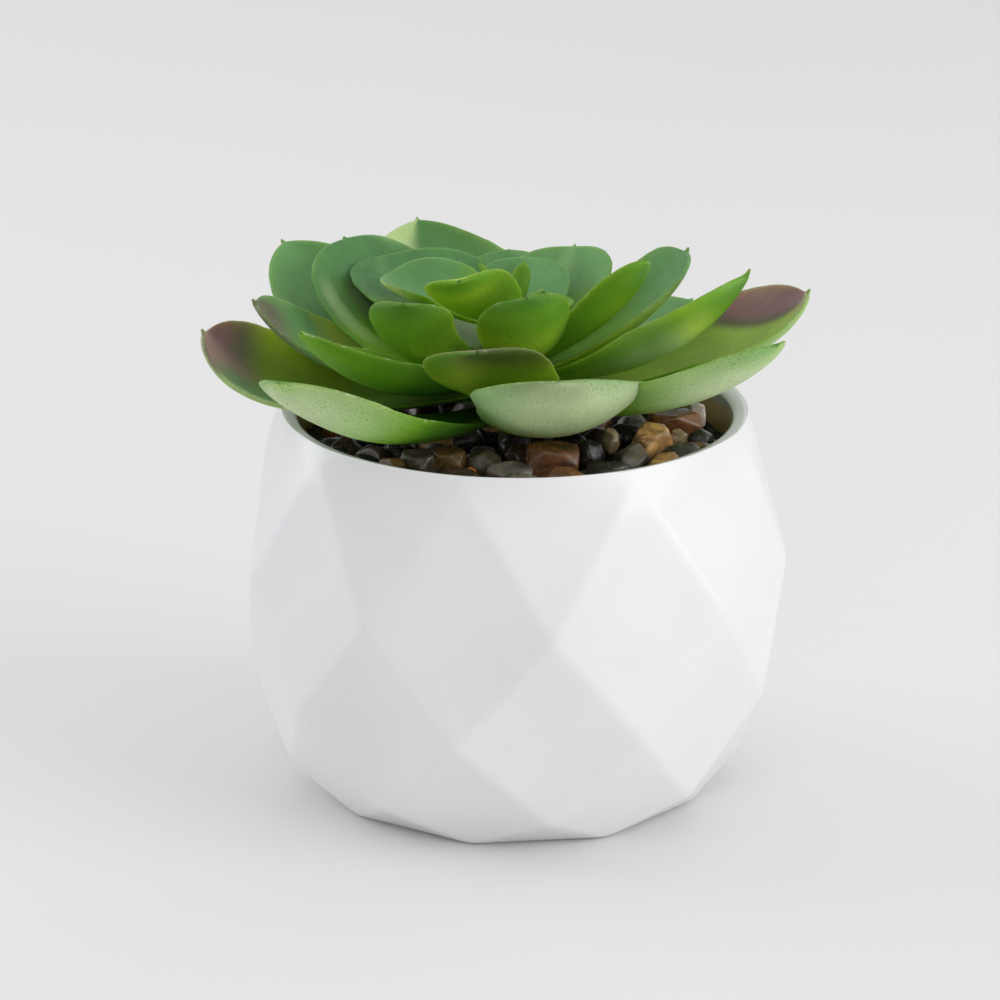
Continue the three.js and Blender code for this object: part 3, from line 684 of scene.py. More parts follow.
def grit_material(settings):
    """Dark crumbly grit, nearly matt."""
    shader = Shader("dark_grit", 0.8)
    crumb = shader.between(shader.cells(900.0), 0.0, 0.9, 1.5, 0.5)
    tint = shader.mix(1.0, tuple4(settings.grit), crumb, "MULTIPLY")
    shader.bump(shader.cells(900.0), 0.8, 0.0008)
    return shader.finish(tint)


def filler_material():
    """Dark, rough filler under the grit."""
    shader = Shader("rough_filler", 0.92)
    tint = shader.mix(shader.noise(600.0, 4.0), srgb(34, 26, 20), srgb(66, 52, 40))
    shader.bump(shader.noise(900.0, 3.0), 0.6, 0.0006)
    return shader.finish(tint)


def stem_material():
    """Olive moulded stem with darker lengthwise streaks."""
    shader = Shader("olive_stem", 0.6)
    streak = shader.noise(300.0, 3.0, 0.5, shader.scaled(shader.place, (1.0, 1.0, 0.15)))
    shader.bump(streak, 0.3, 0.0003)
    return shader.finish(shader.mix(streak, srgb(62, 74, 34), srgb(104, 112, 60)))


class AEONIUM_OT_pebbles(bpy.types.Operator):
    """Lays the pebbles and the grit between them"""
    bl_idname = "aeonium.pebbles"
    bl_label = "Pebbles and grit"

    def execute(self, context):
        settings = context.scene.aeonium_pebbles
        mouth = context.scene.aeonium_pot.mouth_radius / MM
        chances = np.random.default_rng(PEBBLE_SEED)
        shown = []
        for number, stone in enumerate(SHOWN_PEBBLES + SEEN_STONES):
            at, top, half, yaw, name, roundness = stone
            skin = stone_skin((*at, top - half[2]), half, yaw, roundness, SHOWN_SEED + number,
                              FINE)
            shown.append(coloured_stone(skin, name, 0.5, mouth))
        ruled = []
        for number, (centre, half, yaw) in enumerate(ruled_pebbles(settings)):
            roundness = chances.choice((16, 24, 40))
            skin = stone_skin(centre, half, yaw, roundness, RULED_SEED + number, COARSE)
            name = RULED_STONES[chances.integers(len(RULED_STONES))]
            ruled.append(coloured_stone(skin, name, chances.random(), mouth))
        gloss = stone_material("polished_pebble", 0.34, 0.3)
        for name, parts in (("pebbles_front", shown), ("pebbles_ring", ruled)):
            points, faces, shades = merged(parts)
            piece = make_piece(name, points, faces, "pebbles", "pebble_layer",
                               {"stone_colour": shades})
            piece.data.materials.append(gloss)
        points, faces = grit_skin(mouth)
        bed = make_piece("grit_bed", points, faces, "pebbles", "pebble_layer")
        bed.data.materials.append(grit_material(settings))
        return {"FINISHED"}


class AEONIUM_OT_core(bpy.types.Operator):
    """Finishes the hidden filler and the stem, which keep their solids"""
    bl_idname = "aeonium.core"
    bl_label = "Filler and stem"

    def execute(self, context):
        for node, material in (("soil_fill", filler_material()), ("stem", stem_material())):
            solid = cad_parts[node]
            if not solid.material_slots:
                solid.data.materials.append(material)
            for place in solid.material_slots:
                place.material = material
        return {"FINISHED"}


# ------------------------------------------------------------------------------ leaves
BASE_SHARE = 0.34                 # a leaf's half width at its base, as a share of the widest
POINT_HALF_WIDTH = 0.34           # half width of the small point where it leaves the blade
COLLAR_ROUNDING = 0.8
STEM_CLEARED = 73.7               # height under which a collar is hollow for the stem
LEAF_DEFAULTS = {
    "side": 0, "roll": 0, "twist": 0, "fold": 0, "curl": 1, "widest": 0.6, "blunt": 2.3,
    "point": 0.6, "thin": 1,
}


# The upper face's default darkens to painted shade at the base.
def look(under, upper="0 night, 0.3 deep, 0.6 fresh, 1 leafy", side=(), below=(), lean=0,
         speckle=0.2, worn=0.2):
    """How a leaf is coloured. upper and under: colours along each face, each after its share of
    the length, with the first and the last colour kept on to the ends. lean: how much further
    they reach on the right margin than on the midrib. side and below: patches laid on the upper
    face and the underside, as (colour, places across, places along, strength). Across a face -1
    is the left margin and 1 the right one, seen from the stem. A patch rises from its first place
    to its second, and fades from the third to the fourth if there are four; an empty entry is all
    over. speckle and worn: strength of the dark dots and of the light rim."""
    faces = [[entry.split() for entry in face.split(",")] for face in (upper, under)]
    upper, under = [[(float(place), name) for place, name in face] for face in faces]
    return {"upper": upper, "under": under, "side": side, "below": below, "lean": lean,
            "speckle": speckle, "worn": worn}


# In these looks the dark greens at the bases and in dark patches are painted shade, the lime,
# spring and cream greens on inner and far leaves are partly painted light, glow and highlight, and
# the grey mauve by the maroon tips is painted sheen.
LOOKS = {
    "pale_left": look(
        under="0 night, 0.45 deep, 0.57 fresh, 0.72 pale, 0.86 chalk, 0.95 chalk, 1 pale",
        below=(("leafy", (0.1, 1), (), 0.35), ("deep", (0.5, 1), (0.6, 0.45), 0.6),
               ("haze", (-0.5, -0.9), (0.85, 0.95), 0.7)), speckle=1, worn=0.7),
    "pale_front": look(
        under="0 leafy, 0.3 lime, 0.5 cream, 0.75 chalk",
        below=(("haze", (-0.35, -0.95), (), 0.65), ("ash", (), (0.84, 0.98), 0.4),
               ("haze", (0.5, 1), (0.75, 0.95), 0.5)), speckle=0.8, worn=0.45),
    "pale_right": look(
        under="0.42 fresh, 0.54 pale, 0.7 chalk, 0.86 chalk, 1 pale",
        below=(("leafy", (-0.3, -0.95), (), 0.45), ("haze", (0.1, -0.6), (0.8, 1), 0.5)),
        speckle=0.9, worn=0.4),
    "domed": look(
        upper="0 deep, 0.5 mist", side=(("cream", (-0.05, 0.3), (), 0.95),),
        under="0 mist, 1 haze", speckle=0.1),
    "far": look(
        upper="0 deep, 0.4 leafy, 0.7 haze", side=(("mist", (0.1, -0.6), (), 0.8),),
        under="0 deep, 0.5 haze"),
    "dim": look(
        upper="0 deep, 0.5 mist",
        side=(("haze", (-1, -0.75, -0.3, 0.1), (0.6, 0.8), 0.6),
              ("deep", (0.2, 0.35, 0.5, 0.65), (0.97, 0.8), 0.6)),
        under="0 deep, 0.5 haze"),
    # Its cream patches are painted light where the leaf in front shades this one, and its deep
    # patch is painted shade.
    "far_broad": look(
        upper="0.35 fresh, 0.5 leafy, 0.65 sage",
        side=(("cream", (0.2, 0.4, 0.5, 0.7), (0.5, 0.62, 0.7, 0.82), 0.55),
              ("deep", (0.4, 0.52, 0.6, 0.72), (0.3, 0.5, 0.75, 0.9), 0.6),
              ("cream", (0.66, 0.78, 0.86, 0.96), (0.35, 0.5, 0.72, 0.88), 0.4),
              ("haze", (-0.6, -0.95), (0.85, 0.95), 0.8)), under="0 deep, 1 haze"),
    "flushed_left": look(
        upper="0 leafy, 0.3 fresh, 0.5 olive, 0.74 olive, 0.85 ash, 0.93 maroon",
        side=(("fresh", (-0.4, 0), (0.25, 0.4, 0.68, 0.78), 0.6),
              ("dusk", (-0.35, 0.1), (0.7, 0.9), 0.8),
              ("haze", (0.05, 0.5), (0.35, 0.5, 0.84, 0.96), 0.85),
              ("cream", (0.6, 0.9), (0.4, 0.55, 0.86, 0.93), 0.8),
              ("ash", (0.5, 0.95), (0.88, 0.96), 0.8)),
        under="0 night, 0.4 fresh, 0.6 pale, 0.85 chalk, 1 dusk", speckle=0.4),
    "flushed_right": look(
        upper="0.35 lime, 0.5 moss, 0.84 moss, 0.9 ash, 0.97 maroon",
        side=(("fresh", (0, 0.6), (0.25, 0.4, 0.62, 0.72), 0.4),
              ("haze", (-0.4, -0.9), (0.72, 0.9), 0.45), ("dusk", (0.2, -0.3), (0.88, 1), 0.7),
              ("dusk", (0.5, 0.9), (0.8, 1), 0.3)), under="0 leafy, 0.6 pale", lean=0.36,
        speckle=0.3, worn=0.3),
    "flushed_front": look(
        upper="0 deep, 0.6 olive, 1 maroon",
        under="0 night, 0.45 fresh, 0.64 olive, 0.8 olive, 0.97 bronze",
        below=(("deep", (-0.35, -0.8), (0.7, 0.95), 0.8), ("bronze", (0.3, 1), (0.78, 0.95), 0.8)),
        lean=0.08, speckle=0.7, worn=0.6),
    "dusky": look(
        upper="0 deep, 0.3 lime, 0.55 spring, 0.68 haze, 0.76 haze, 0.89 ash",
        side=(("leafy", (-0.3, 0), (0.6, 0.7, 0.78, 0.88), 0.6),
              ("haze", (-0.4, -0.9), (0.8, 0.9), 0.8)), under="0 deep, 0.6 mist, 1 ash", lean=0.05),
    "fresh": look(
        under="0 fresh, 0.45 lime, 0.6 lime, 0.76 fresh, 0.9 leafy, 1 deep",
        below=(("leafy", (0, 0.8), (0.97, 0.85), 0.6), ("deep", (0.4, 0.9), (0.75, 0.5), 0.6),
               ("deep", (0.5, 1), (), 0.4), ("deep", (-0.5, -1), (0.86, 0.96), 0.8)), speckle=1,
        worn=0.4),
    "flank": look(
        under="0 fresh",
        below=(("lime", (-0.5, 0.1), (0.85, 0.6), 0.55), ("leafy", (-0.4, -0.85), (), 0.8),
               ("haze", (-0.6, 0), (0.75, 0.95), 0.5)), speckle=0.5, worn=0.4),
    "banded": look(
        upper="0.5 leafy, 1 fresh", under="0 night, 0.35 deep, 0.6 fresh",
        below=(("haze", (0.1, -0.4), (0.85, 0.95), 0.5), ("deep", (0.45, 0.95), (), 0.6),
               ("deep", (), (0.65, 0.48), 0.7)), speckle=0.5, worn=0.5),
    "keeled": look(
        upper="0 leafy, 0.4 fresh",
        under="0 lime, 0.2 spring, 0.45 cream, 0.6 cream, 0.72 spring, 0.84 fresh, 0.9 leafy",
        below=(("fresh", (-0.4, -0.85), (), 0.75), ("leafy", (-0.35, 0.1), (0.6, 0.72), 0.7),
               ("haze", (), (0.85, 1), 0.3)), speckle=0.4, worn=0.3),
    "wedged": look(
        upper="0.45 leafy, 0.85 mist",
        side=(("haze", (-0.5, -0.2, 0.1, 0.4), (0.6, 0.8), 0.5),
              ("deep", (0.15, 0.35, 0.6, 0.8), (0.95, 0.6), 0.5)),
        under="0 lime, 0.3 spring, 0.5 cream, 0.65 cream, 0.85 haze, 1 mist", speckle=0.3,
        worn=0.3),
    # Its cream patch on the left half is a painted highlight.
    "streaked": look(
        upper="0 leafy, 0.4 fresh, 0.8 mist, 1 haze",
        side=(("cream", (-0.25, 0, 0.1, 0.3), (0.6, 0.8), 0.35), ("haze", (), (0.6, 0.7), 0.5)),
        under="0 deep, 1 mist", speckle=0.1),
    "lime": look(
        upper="0 leafy, 1 lime", under="0.82 lime, 0.93 fresh, 1 leafy",
        below=(("leafy", (0, 0.85), (), 0.85), ("deep", (0.7, 1), (), 0.3),
               ("leafy", (-0.5, -0.95), (0.75, 0.95), 0.7)), speckle=0.6),
    "misty": look(
        upper="0 spring, 0.3 fresh, 0.6 mist",
        under="0 lime, 0.5 fresh, 0.7 cream", speckle=0.1),
    "backdrop": look(
        upper="0.25 cream, 0.5 fresh, 0.65 sage",
        side=(("haze", (0.1, 0.3, 0.4, 0.6), (0.7, 0.8), 0.5),), under="0 deep, 1 haze",
        speckle=0.1),
    "bud": look(
        upper="0 leafy", under="0 deep, 1 leafy", speckle=0.1, worn=0.1),
}


def leaf_of(look_name, turn, start, rise, bend, length_mm, half, cup, **rest):
    """One leaf's numbers, as in the solids. turn, rise, bend, cup, roll, twist and fold are
    degrees; start (radius, height), length, half width and side shift are millimetres; widest is
    a share of the length. curl and blunt are powers: of the bend along the leaf and of the tip's
    superellipse. point and thin scale the small point and the thickness."""
    return {**LEAF_DEFAULTS, "look": look_name, "turn": turn, "start": start, "rise": rise,
            "bend": bend, "length": length_mm, "half": half, "cup": cup, **rest}


# Whorls from the lowest up: node, slot, the collar's foot, top and radius, and the leaves.
WHORLS = (
    ("leaf_whorl_1", "lower_leaf", (56.4, 59.4, 6.2), (
        leaf_of("pale_left", -33, (4, 58.4), 0, 52.5, 51.1, 9.4, 40, curl=1.9, side=-6, roll=3.5,
                twist=2, fold=8, widest=0.77, blunt=2.2, point=0.3),
        leaf_of("pale_front", 23, (4, 57.5), 5.5, 64, 35.7, 15.1, 54, curl=2, side=-7.9, roll=5.5,
                twist=-12, widest=0.66, blunt=2, point=0.25),
        leaf_of("pale_right", 53.5, (4, 58.5), 8, 42.5, 45.7, 10.4, 49, curl=1.9, side=0.9,
                roll=-11.5, twist=6, widest=0.63, blunt=2.4, point=0.3),
        leaf_of("far", 138, (4, 57.8), 0, 26, 37.5, 11, 40),
        leaf_of("domed", 203.5, (4, 58), 5.5, 57, 46.9, 16.5, 40, curl=2.3, side=-3.1, roll=-4.5,
                twist=-1, blunt=1.8, point=0.5),
        leaf_of("far", -140, (4, 57.8), -3, 24, 38, 10, 30),
    )),
    ("leaf_whorl_2", "tipped_leaf", (60.1, 61.9, 5.8), (
        leaf_of("flushed_left", -89, (4, 60.9), -6.5, 69.5, 45.4, 12.2, 38, curl=2.6, side=2.2,
                roll=1.5, twist=-16.5, widest=0.64, blunt=2.7, point=0.7),
        leaf_of("flushed_right", 98.5, (4, 61.2), 0.5, 56, 43.3, 11.6, 56, curl=2, side=-2, roll=1,
                twist=5, widest=0.66, point=0.7),
        leaf_of("flushed_front", -1.5, (4, 61.3), 8.5, 51.5, 30, 9.2, 21, curl=1.5, side=-4.6,
                roll=-10.5, twist=17.5, widest=0.76, blunt=3.6, point=0.2),
        leaf_of("far", -125, (4, 60.9), 9, 37.5, 42.3, 12.6, 21, curl=1.8, side=0.8, roll=-9.5,
                widest=0.61, blunt=1.9),
        leaf_of("dim", 180.5, (4, 61.3), 8.5, 18.5, 35, 8.5, 34, side=0.7, roll=-0.5, twist=-1.5,
                point=0.4),
    )),
    ("leaf_whorl_3", "middle_leaf", (62.5, 65, 5.4), (
        leaf_of("dusky", -81, (3.5, 63), 0, 53.5, 38.1, 9.7, 35.5, curl=1.8, side=-2.6, roll=-0.5,
                twist=-7.5, blunt=2.5),
        leaf_of("banded", -46, (3.5, 64.1), -5.5, 64, 36.6, 9, 58.5, curl=1.6, side=-6.3, roll=3,
                twist=-1, fold=9.5, widest=0.56, blunt=1.8, point=0.4),
        leaf_of("keeled", 78, (3.5, 63.1), 5, 58, 36.3, 10.5, 46.5, curl=1.4, side=2.1, roll=-11.5,
                twist=0.5, fold=8, widest=0.58, blunt=2.1, point=1),
        leaf_of("far_broad", -124, (3.5, 64.3), 9, 43, 32.9, 16.2, 8, curl=1.5, side=-1.8,
                roll=-11, twist=21, widest=0.62, blunt=3.1, point=0.4),
        leaf_of("wedged", 113.5, (3.5, 63.5), 11.5, 46, 30.4, 9.2, 39.5, curl=1.5, side=2.9,
                roll=-9, twist=3, fold=6.5, widest=0.68, blunt=3, point=0.7),
        leaf_of("streaked", 163.5, (3.5, 63.8), 7, 32, 29.9, 9.7, 42, curl=1.2, side=-0.2,
                roll=-3.5, twist=-5.5, fold=5.5, widest=0.59, blunt=2.6),
    )),
    ("leaf_whorl_4", "upper_leaf", (65.7, 68.6, 5), (
        leaf_of("fresh", -45, (3, 66.5), -1, 80, 31.7, 7.6, 57, curl=1.6, side=5.6, roll=10.5,
                twist=8.5, fold=3, widest=0.8, blunt=3, point=0.2),
        leaf_of("fresh", 9.5, (3, 66.7), 13.5, 64.5, 23.3, 7.8, 53.5, curl=1.5, side=-1.8,
                roll=4.5, twist=11, widest=0.67, blunt=3, point=0.2),
        leaf_of("flank", 69.5, (3, 66.2), 28.5, 37.5, 24.2, 5.1, 50.5, curl=1.4, side=-0.2,
                roll=-25.5, twist=1.5, fold=5.5, widest=0.64, point=0.4),
        leaf_of("dim", 176, (3, 67), 12, 12, 23, 7.5, 40, point=0.5),
        leaf_of("backdrop", -136, (3, 67), 6.5, 23, 26.9, 13.4, 26, curl=0.9, side=-0.4, twist=2,
                blunt=2.8, point=0.5),
    )),
    ("heart_leaves", "heart_leaf", (68.9, 74.8, 4), (
        leaf_of("lime", -25, (2, 72.9), 12, 38, 22.1, 7.2, 62, curl=1.4, side=1, roll=17.5,
                twist=5, blunt=3.2, point=0.2),
        leaf_of("misty", -111, (2, 71.2), 3, 24.5, 18.7, 10.1, 47.5, curl=0.7, side=2.2, roll=-1.5,
                twist=3, widest=0.63, blunt=2.7, point=0.3),
        leaf_of("fresh", 140, (2, 71), -3, 32, 9, 4.6, 40, point=0.3),
        leaf_of("bud", 65, (0.5, 73.6), 18, 35, 4.8, 3, 50, point=0.3),
        leaf_of("bud", 160, (1, 73.8), 60, 10, 6, 1.6, 60, point=0.3, thin=0.5),
        leaf_of("bud", -100, (3, 73.6), 62, 15, 6.7, 1.6, 60, point=0.3, thin=0.5),
    )),
)


def outline(s, leaf):
    """Half width at shares s of the length: it swells from the base as a quarter sine to the
    widest place, and closes at the tip as a superellipse."""
    swell = BASE_SHARE + (1 - BASE_SHARE) * np.sin(
        np.clip(s / leaf["widest"], 0, 1) * np.pi / 2) ** 1.15
    q = np.clip((s - leaf["widest"]) / (1 - leaf["widest"]), 0, 1)
    close = (1 - q ** leaf["blunt"]) ** (1.15 / leaf["blunt"])
    return np.where(s < leaf["widest"], swell, close) * leaf["half"]


def midrib(s, leaf):
    """Radius, height and slope of the midrib at shares s. The slope is rise + bend * s ** curl,
    and the radius and height are its cosine and sine summed in short steps."""
    def slope(share):
        return np.radians(leaf["rise"] + leaf["bend"] * share ** leaf["curl"])

    fine = np.linspace(0, s[-1], 800)
    middle = slope(0.5 * (fine[1:] + fine[:-1]))
    step = (fine[1] - fine[0]) * leaf["length"]
    radius = leaf["start"][0] + np.concatenate([[0], np.cumsum(np.cos(middle) * step)])
    height = leaf["start"][1] + np.concatenate([[0], np.cumsum(np.sin(middle) * step)])
    return np.interp(s, fine, radius), np.interp(s, fine, height), slope(s)


def along_stops(s, stops, palette):
    """Colour along a face: runs evenly from each named stop to the next."""
    places = [place for place, _ in stops]
    shades = np.array([palette[name] for _, name in stops])
    return np.stack([np.interp(s, places, shades[:, k]) for k in range(4)], axis=-1)


def reach(value, places):
    """From 0 to 1 as a smooth step between the first two places, and back between the last two
    if there are four. Without places it is 1 all over."""
    def step(start, end):
        share = np.clip((value - start) / (end - start), 0, 1)
        return share * share * (3 - 2 * share)

    if not places:
        return np.ones_like(value)
    return step(*places[:2]) * (1 - step(*places[2:]) if len(places) == 4 else 1)


def patched(shade, t, s, patches, palette):
    """A face's colours with patches of other colours laid over parts of it."""
    for name, across, along, strength in patches:
        share = strength * reach(t, across) * reach(s, along)
        shade = shade + (np.array(palette[name]) - shade) * share[..., None]
    return shade


def leaf_skin(leaf, settings, palette, number, rows=60, columns=30):
    """One blade as a closed skin of rings across it, from the base to the small point. Across a
    ring the parameter t runs from -1 to 1 over the upper face and back under it. The row is an
    arc of half angle cup; the thickness is laid half above and half below along its normal, and
    closes at the margins as the square root of 1 - |t| ** p, which rounds them."""
    span = leaf["length"]
    x = np.linspace(0, 1, rows)
    body = np.minimum(np.sin(x * np.pi / 2) ** 0.9, 0.9995)
    point_length = settings.point_length / MM * leaf["point"]
    point = 1 + point_length / span * np.array([0.12, 0.3, 0.5, 0.7, 0.88, 1.0])
    s = np.concatenate([body, point])
    beyond = np.clip((s - 1) / (point[-1] - 1), 0, 1)
    near_tip = np.clip((s - 0.93) / 0.07, 0, 1) ** 2
    tip_half = POINT_HALF_WIDTH * near_tip * (1 - beyond ** 1.2) + 0.04 * (s > 1)
    wave = 1 + 0.005 * np.sin(47 * s + number) + 0.003 * np.sin(113 * s + 2.3 * number)
    half = np.hypot(np.where(s < 1, outline(np.minimum(s, 1), leaf), 0) * wave, tip_half)
    rib_radius, rib_height, angle = midrib(s, leaf)

    spread = np.sin(np.linspace(-1, 1, columns + 1) * np.pi / 2)
    t = np.concatenate([spread, spread[-2:0:-1]])[None, :]
    way = np.concatenate([np.ones(columns + 1), -np.ones(columns - 1)])[None, :]
    s_, half_, angle_ = s[:, None], half[:, None], angle[:, None]
    near_base = np.minimum(0.25 + 1.5 * s_, 1)
    arc = math.radians(leaf["cup"]) * (1 - 0.4 * s_ ** 2) * near_base
    roll = np.radians(leaf["roll"] + leaf["twist"] * s_)
    rounded_fold = np.sqrt(np.minimum(np.abs(t) * 4, 1) ** 2 + 0.01) - 0.1
    crease = math.radians(leaf["fold"]) * rounded_fold * (1 - 0.6 * s_ ** 2)
    across = half_ / arc * np.sin(arc * t)
    lift = half_ / arc * (1 - np.cos(arc * t)) + np.abs(across) * np.tan(crease)
    tilt = arc * t + np.sign(t) * crease + roll
    edge, thick = settings.edge_thickness / MM, settings.thickness / MM * leaf["thin"]
    swell = ((1 - np.abs(t) ** 2.5) * np.sqrt(np.clip(1.25 - s_, 0, 1))
             * (1 - 0.55 * beyond[:, None]))
    sharpness = np.clip(5 * half_, 6, 70)
    rounding = np.sqrt(np.clip(1 - np.abs(t) ** sharpness, 0, 1))
    slimmer = 1 - 0.5 * beyond[:, None]
    thickness = (edge + (thick - edge) * swell) / 2 * rounding * slimmer
    right = across * np.cos(roll) - lift * np.sin(roll)
    up = across * np.sin(roll) + lift * np.cos(roll)
    sideways = right - way * thickness * np.sin(tilt) + leaf["side"] * s_ ** 2
    raised = up + way * thickness * np.cos(tilt)
    radius = rib_radius[:, None] - np.sin(angle_) * raised
    height = rib_height[:, None] + np.cos(angle_) * raised
    turn = math.radians(leaf["turn"])
    rings = np.stack([radius * math.sin(turn) + sideways * math.cos(turn),
                      -radius * math.cos(turn) + sideways * math.sin(turn), height], axis=-1)
    points, faces = closed_tube(rings)

    tones = LOOKS[leaf["look"]]
    upper_share = (0.5 + 0.5 * way * rounding)[..., None]
    along = s_ - 0.05 * np.abs(t) ** 2 + tones["lean"] * t
    upper = patched(along_stops(along, tones["upper"], palette), t, s_, tones["side"], palette)
    under = patched(along_stops(along, tones["under"], palette), t, s_, tones["below"], palette)
    shade = under + (upper - under) * upper_share
    shade = shade + (np.array(palette["night"]) - shade) * (0.8 * beyond[:, None, None])
    # Painted shade: the colour darkens along the midrib's crease towards the base.
    midrib_shade = np.exp(-(t * 6) ** 2) * np.clip(1 - s_, 0, 1)
    shade[..., :3] *= (1 - 0.12 * midrib_shade)[..., None]
    rim = np.abs(t) ** (0.9 * sharpness) * np.clip((s_ - 0.2) * 3, 0, 1) * (1 - beyond[:, None])
    blade = np.stack(np.broadcast_arrays(t * half_, s_ * span, way * 3.0 + number), axis=-1)

    def each_point(values, ends):
        return np.concatenate([values.reshape(-1, *values.shape[2:]), ends])

    attributes = {
        "leaf_colour": each_point(shade, np.stack([shade[0].mean(axis=0), shade[-1].mean(axis=0)])),
        "rim": each_point(rim, np.zeros(2)),
        "speckle": np.full(len(points), tones["speckle"]),
        "worn": np.full(len(points), tones["worn"]),
        "blade": each_point(blade, blade[[0, -1], 0]),
    }
    return points, faces, attributes


def leaf_material(settings):
    """Moulded leaf: its own colour faintly clouded and streaked lengthwise, fine dark speckle,
    a dark thin margin with light scuffs, and a satin surface with fine pores."""
    shader = Shader("moulded_leaf", 0.5, Specular_IOR_Level=0.25, Subsurface_Weight=0.4,
                    Subsurface_Scale=0.003)
    shader.surface.inputs["Subsurface Radius"].default_value = (1.0, 1.0, 0.5)
    own = shader.attribute("leaf_colour")
    blade = shader.attribute("blade", "Vector")
    cloud = shader.between(shader.noise(130.0, 4.0), 0.25, 0.75, 0.88, 1.12)
    clouded = shader.mix(1.0, own, cloud, "MULTIPLY")
    streak = shader.noise(1.0, 3.0, 0.6, shader.scaled(blade, (2.6, 0.1, 1.0)), 0.3)
    streaked = shader.mix(1.0, clouded, shader.between(streak, 0.3, 0.7, 0.965, 1.035), "MULTIPLY")
    dots = shader.between(shader.noise(3000.0, 1.0, 0.5), 0.57, 0.67)
    patches = shader.between(shader.noise(260.0, 2.0), 0.4, 0.6, 0.25, 1.0)
    amount = shader.math("MULTIPLY", shader.math("MULTIPLY", dots, patches),
                         shader.attribute("speckle", "Fac"))
    speckled = shader.mix(shader.math("MULTIPLY", amount, 0.47), streaked, tuple4(settings.night))
    rim = shader.attribute("rim", "Fac")
    edged = shader.mix(shader.math("MULTIPLY", rim, 0.5), speckled, tuple4(settings.deep))
    flakes = shader.between(shader.noise(620.0, 5.0, 0.75), 0.5, 0.66, 0.0, 0.85)
    worn = shader.math("MULTIPLY", shader.math("MULTIPLY", rim, flakes),
                       shader.attribute("worn", "Fac"))
    rimmed = shader.mix(worn, edged, tuple4(settings.scuff))
    pores = shader.math("ADD", shader.math("MULTIPLY", shader.noise(2200.0, 2.0), 0.5),
                        shader.math("MULTIPLY", streak, 0.7))
    shader.bump(pores, 0.2, 0.0002)
    return shader.finish(rimmed, shader.between(shader.noise(600.0, 3.0), 0.3, 0.7, 0.42, 0.6))


def collar_material():
    """Plain mottled green of the collars between the whorls."""
    shader = Shader("leaf_collar", 0.6)
    tint = shader.mix(shader.noise(500.0, 3.0), srgb(62, 104, 30), srgb(98, 142, 46))
    shader.bump(shader.noise(900.0, 2.0), 0.2, 0.0003)
    return shader.finish(tint)


def collar_skin(foot, top, radius):
    """A collar round the stem: a short drum with rounded edges. The topmost one is closed over
    the stem, as the solids are."""
    edge = np.radians(np.linspace(0, 90, 6))
    inset = radius - COLLAR_ROUNDING
    low = np.stack([inset + COLLAR_ROUNDING * np.sin(edge),
                    foot + COLLAR_ROUNDING * (1 - np.cos(edge))], axis=-1)
    high = np.stack([inset + COLLAR_ROUNDING * np.cos(edge),
                     top - COLLAR_ROUNDING * (1 - np.sin(edge))], axis=-1)
    hole = STEM_RADIUS + GAP
    if top > STEM_CLEARED:
        profile, closed = [[hole, STEM_CLEARED], [hole, foot], *low, *high], closed_tube
    else:
        profile, closed = [[hole, foot], *low, *high, [hole, top]], closed_ring
    profile = np.array(profile)
    turns = np.linspace(0, 2 * np.pi, 48, endpoint=False)[None, :]
    return closed(around(profile[:, :1], turns, profile[:, 1:]))


class AEONIUM_OT_whorl(bpy.types.Operator):
    """Builds one whorl: its leaves and the collar that holds them on the stem"""
    bl_idname = "aeonium.whorl"
    bl_label = "Leaf whorl"

    index: bpy.props.IntProperty(
        name="Whorl", description="Which whorl, from 0 for the lowest", default=0, min=0,
        max=len(WHORLS) - 1)

    def execute(self, context):
        settings = context.scene.aeonium_leaves
        palette = {name: tuple4(getattr(settings, name)) for name in (
            "fresh", "leafy", "deep", "night", "pale", "chalk", "spring", "moss", "mist", "haze",
            "lime", "olive", "bronze", "maroon", "dusk", "ash", "cream", "sage")}
        node, slot, collar_sizes, leaves = WHORLS[self.index]
        skin = bpy.data.materials.get("moulded_leaf") or leaf_material(settings)
        plain = bpy.data.materials.get("leaf_collar") or collar_material()
        for number, leaf in enumerate(leaves, 1):
            points, faces, attributes = leaf_skin(leaf, settings, palette,
                                                  10 * self.index + number)
            piece = make_piece(f"{node}_blade_{number}", points, faces, slot, node, attributes)
            piece.data.materials.append(skin)
        points, faces = collar_skin(*collar_sizes)
        collar = make_piece(f"{node}_collar", points, faces, slot, node)
        collar.data.materials.append(plain)
        return {"FINISHED"}


# ------------------------------------------------------------------------------ stage
CAMERA_TARGET = (-2.1, 0.0, 43.7)     # mm
CAMERA_DISTANCE = 670.8
CAMERA_ELEVATION = 18.44              # degrees above the horizon
CAMERA_ROLL = 0.385
SENSOR_WIDTH = 36.0
FLOOR_HALF_WIDTH = 3.0                # metres, as are the lights' sizes and their distance
LIGHT_DISTANCE = 0.9
LIGHT_AIM = 0.045                     # height that the lights look at
LIGHTS = (                            # name, (turn, elevation) in degrees, size, tint
    ("key", (66, 20), 0.7, (1.0, 0.985, 0.96)),
    ("fill", (-111, 20), 0.7, (0.96, 0.98, 1.0)),
    ("top", (150, 80), 0.8, (1.0, 1.0, 1.0)),
)


def floor_material(settings):
    """Pale matt floor with the faintest clouding."""
    shader = Shader("pale_floor", 0.7)
    tint = tuple4(settings.floor)
    darker = (*(0.97 * channel for channel in tint[:3]), 1.0)
    return shader.finish(shader.mix(shader.noise(6.0, 2.0), tint, darker))


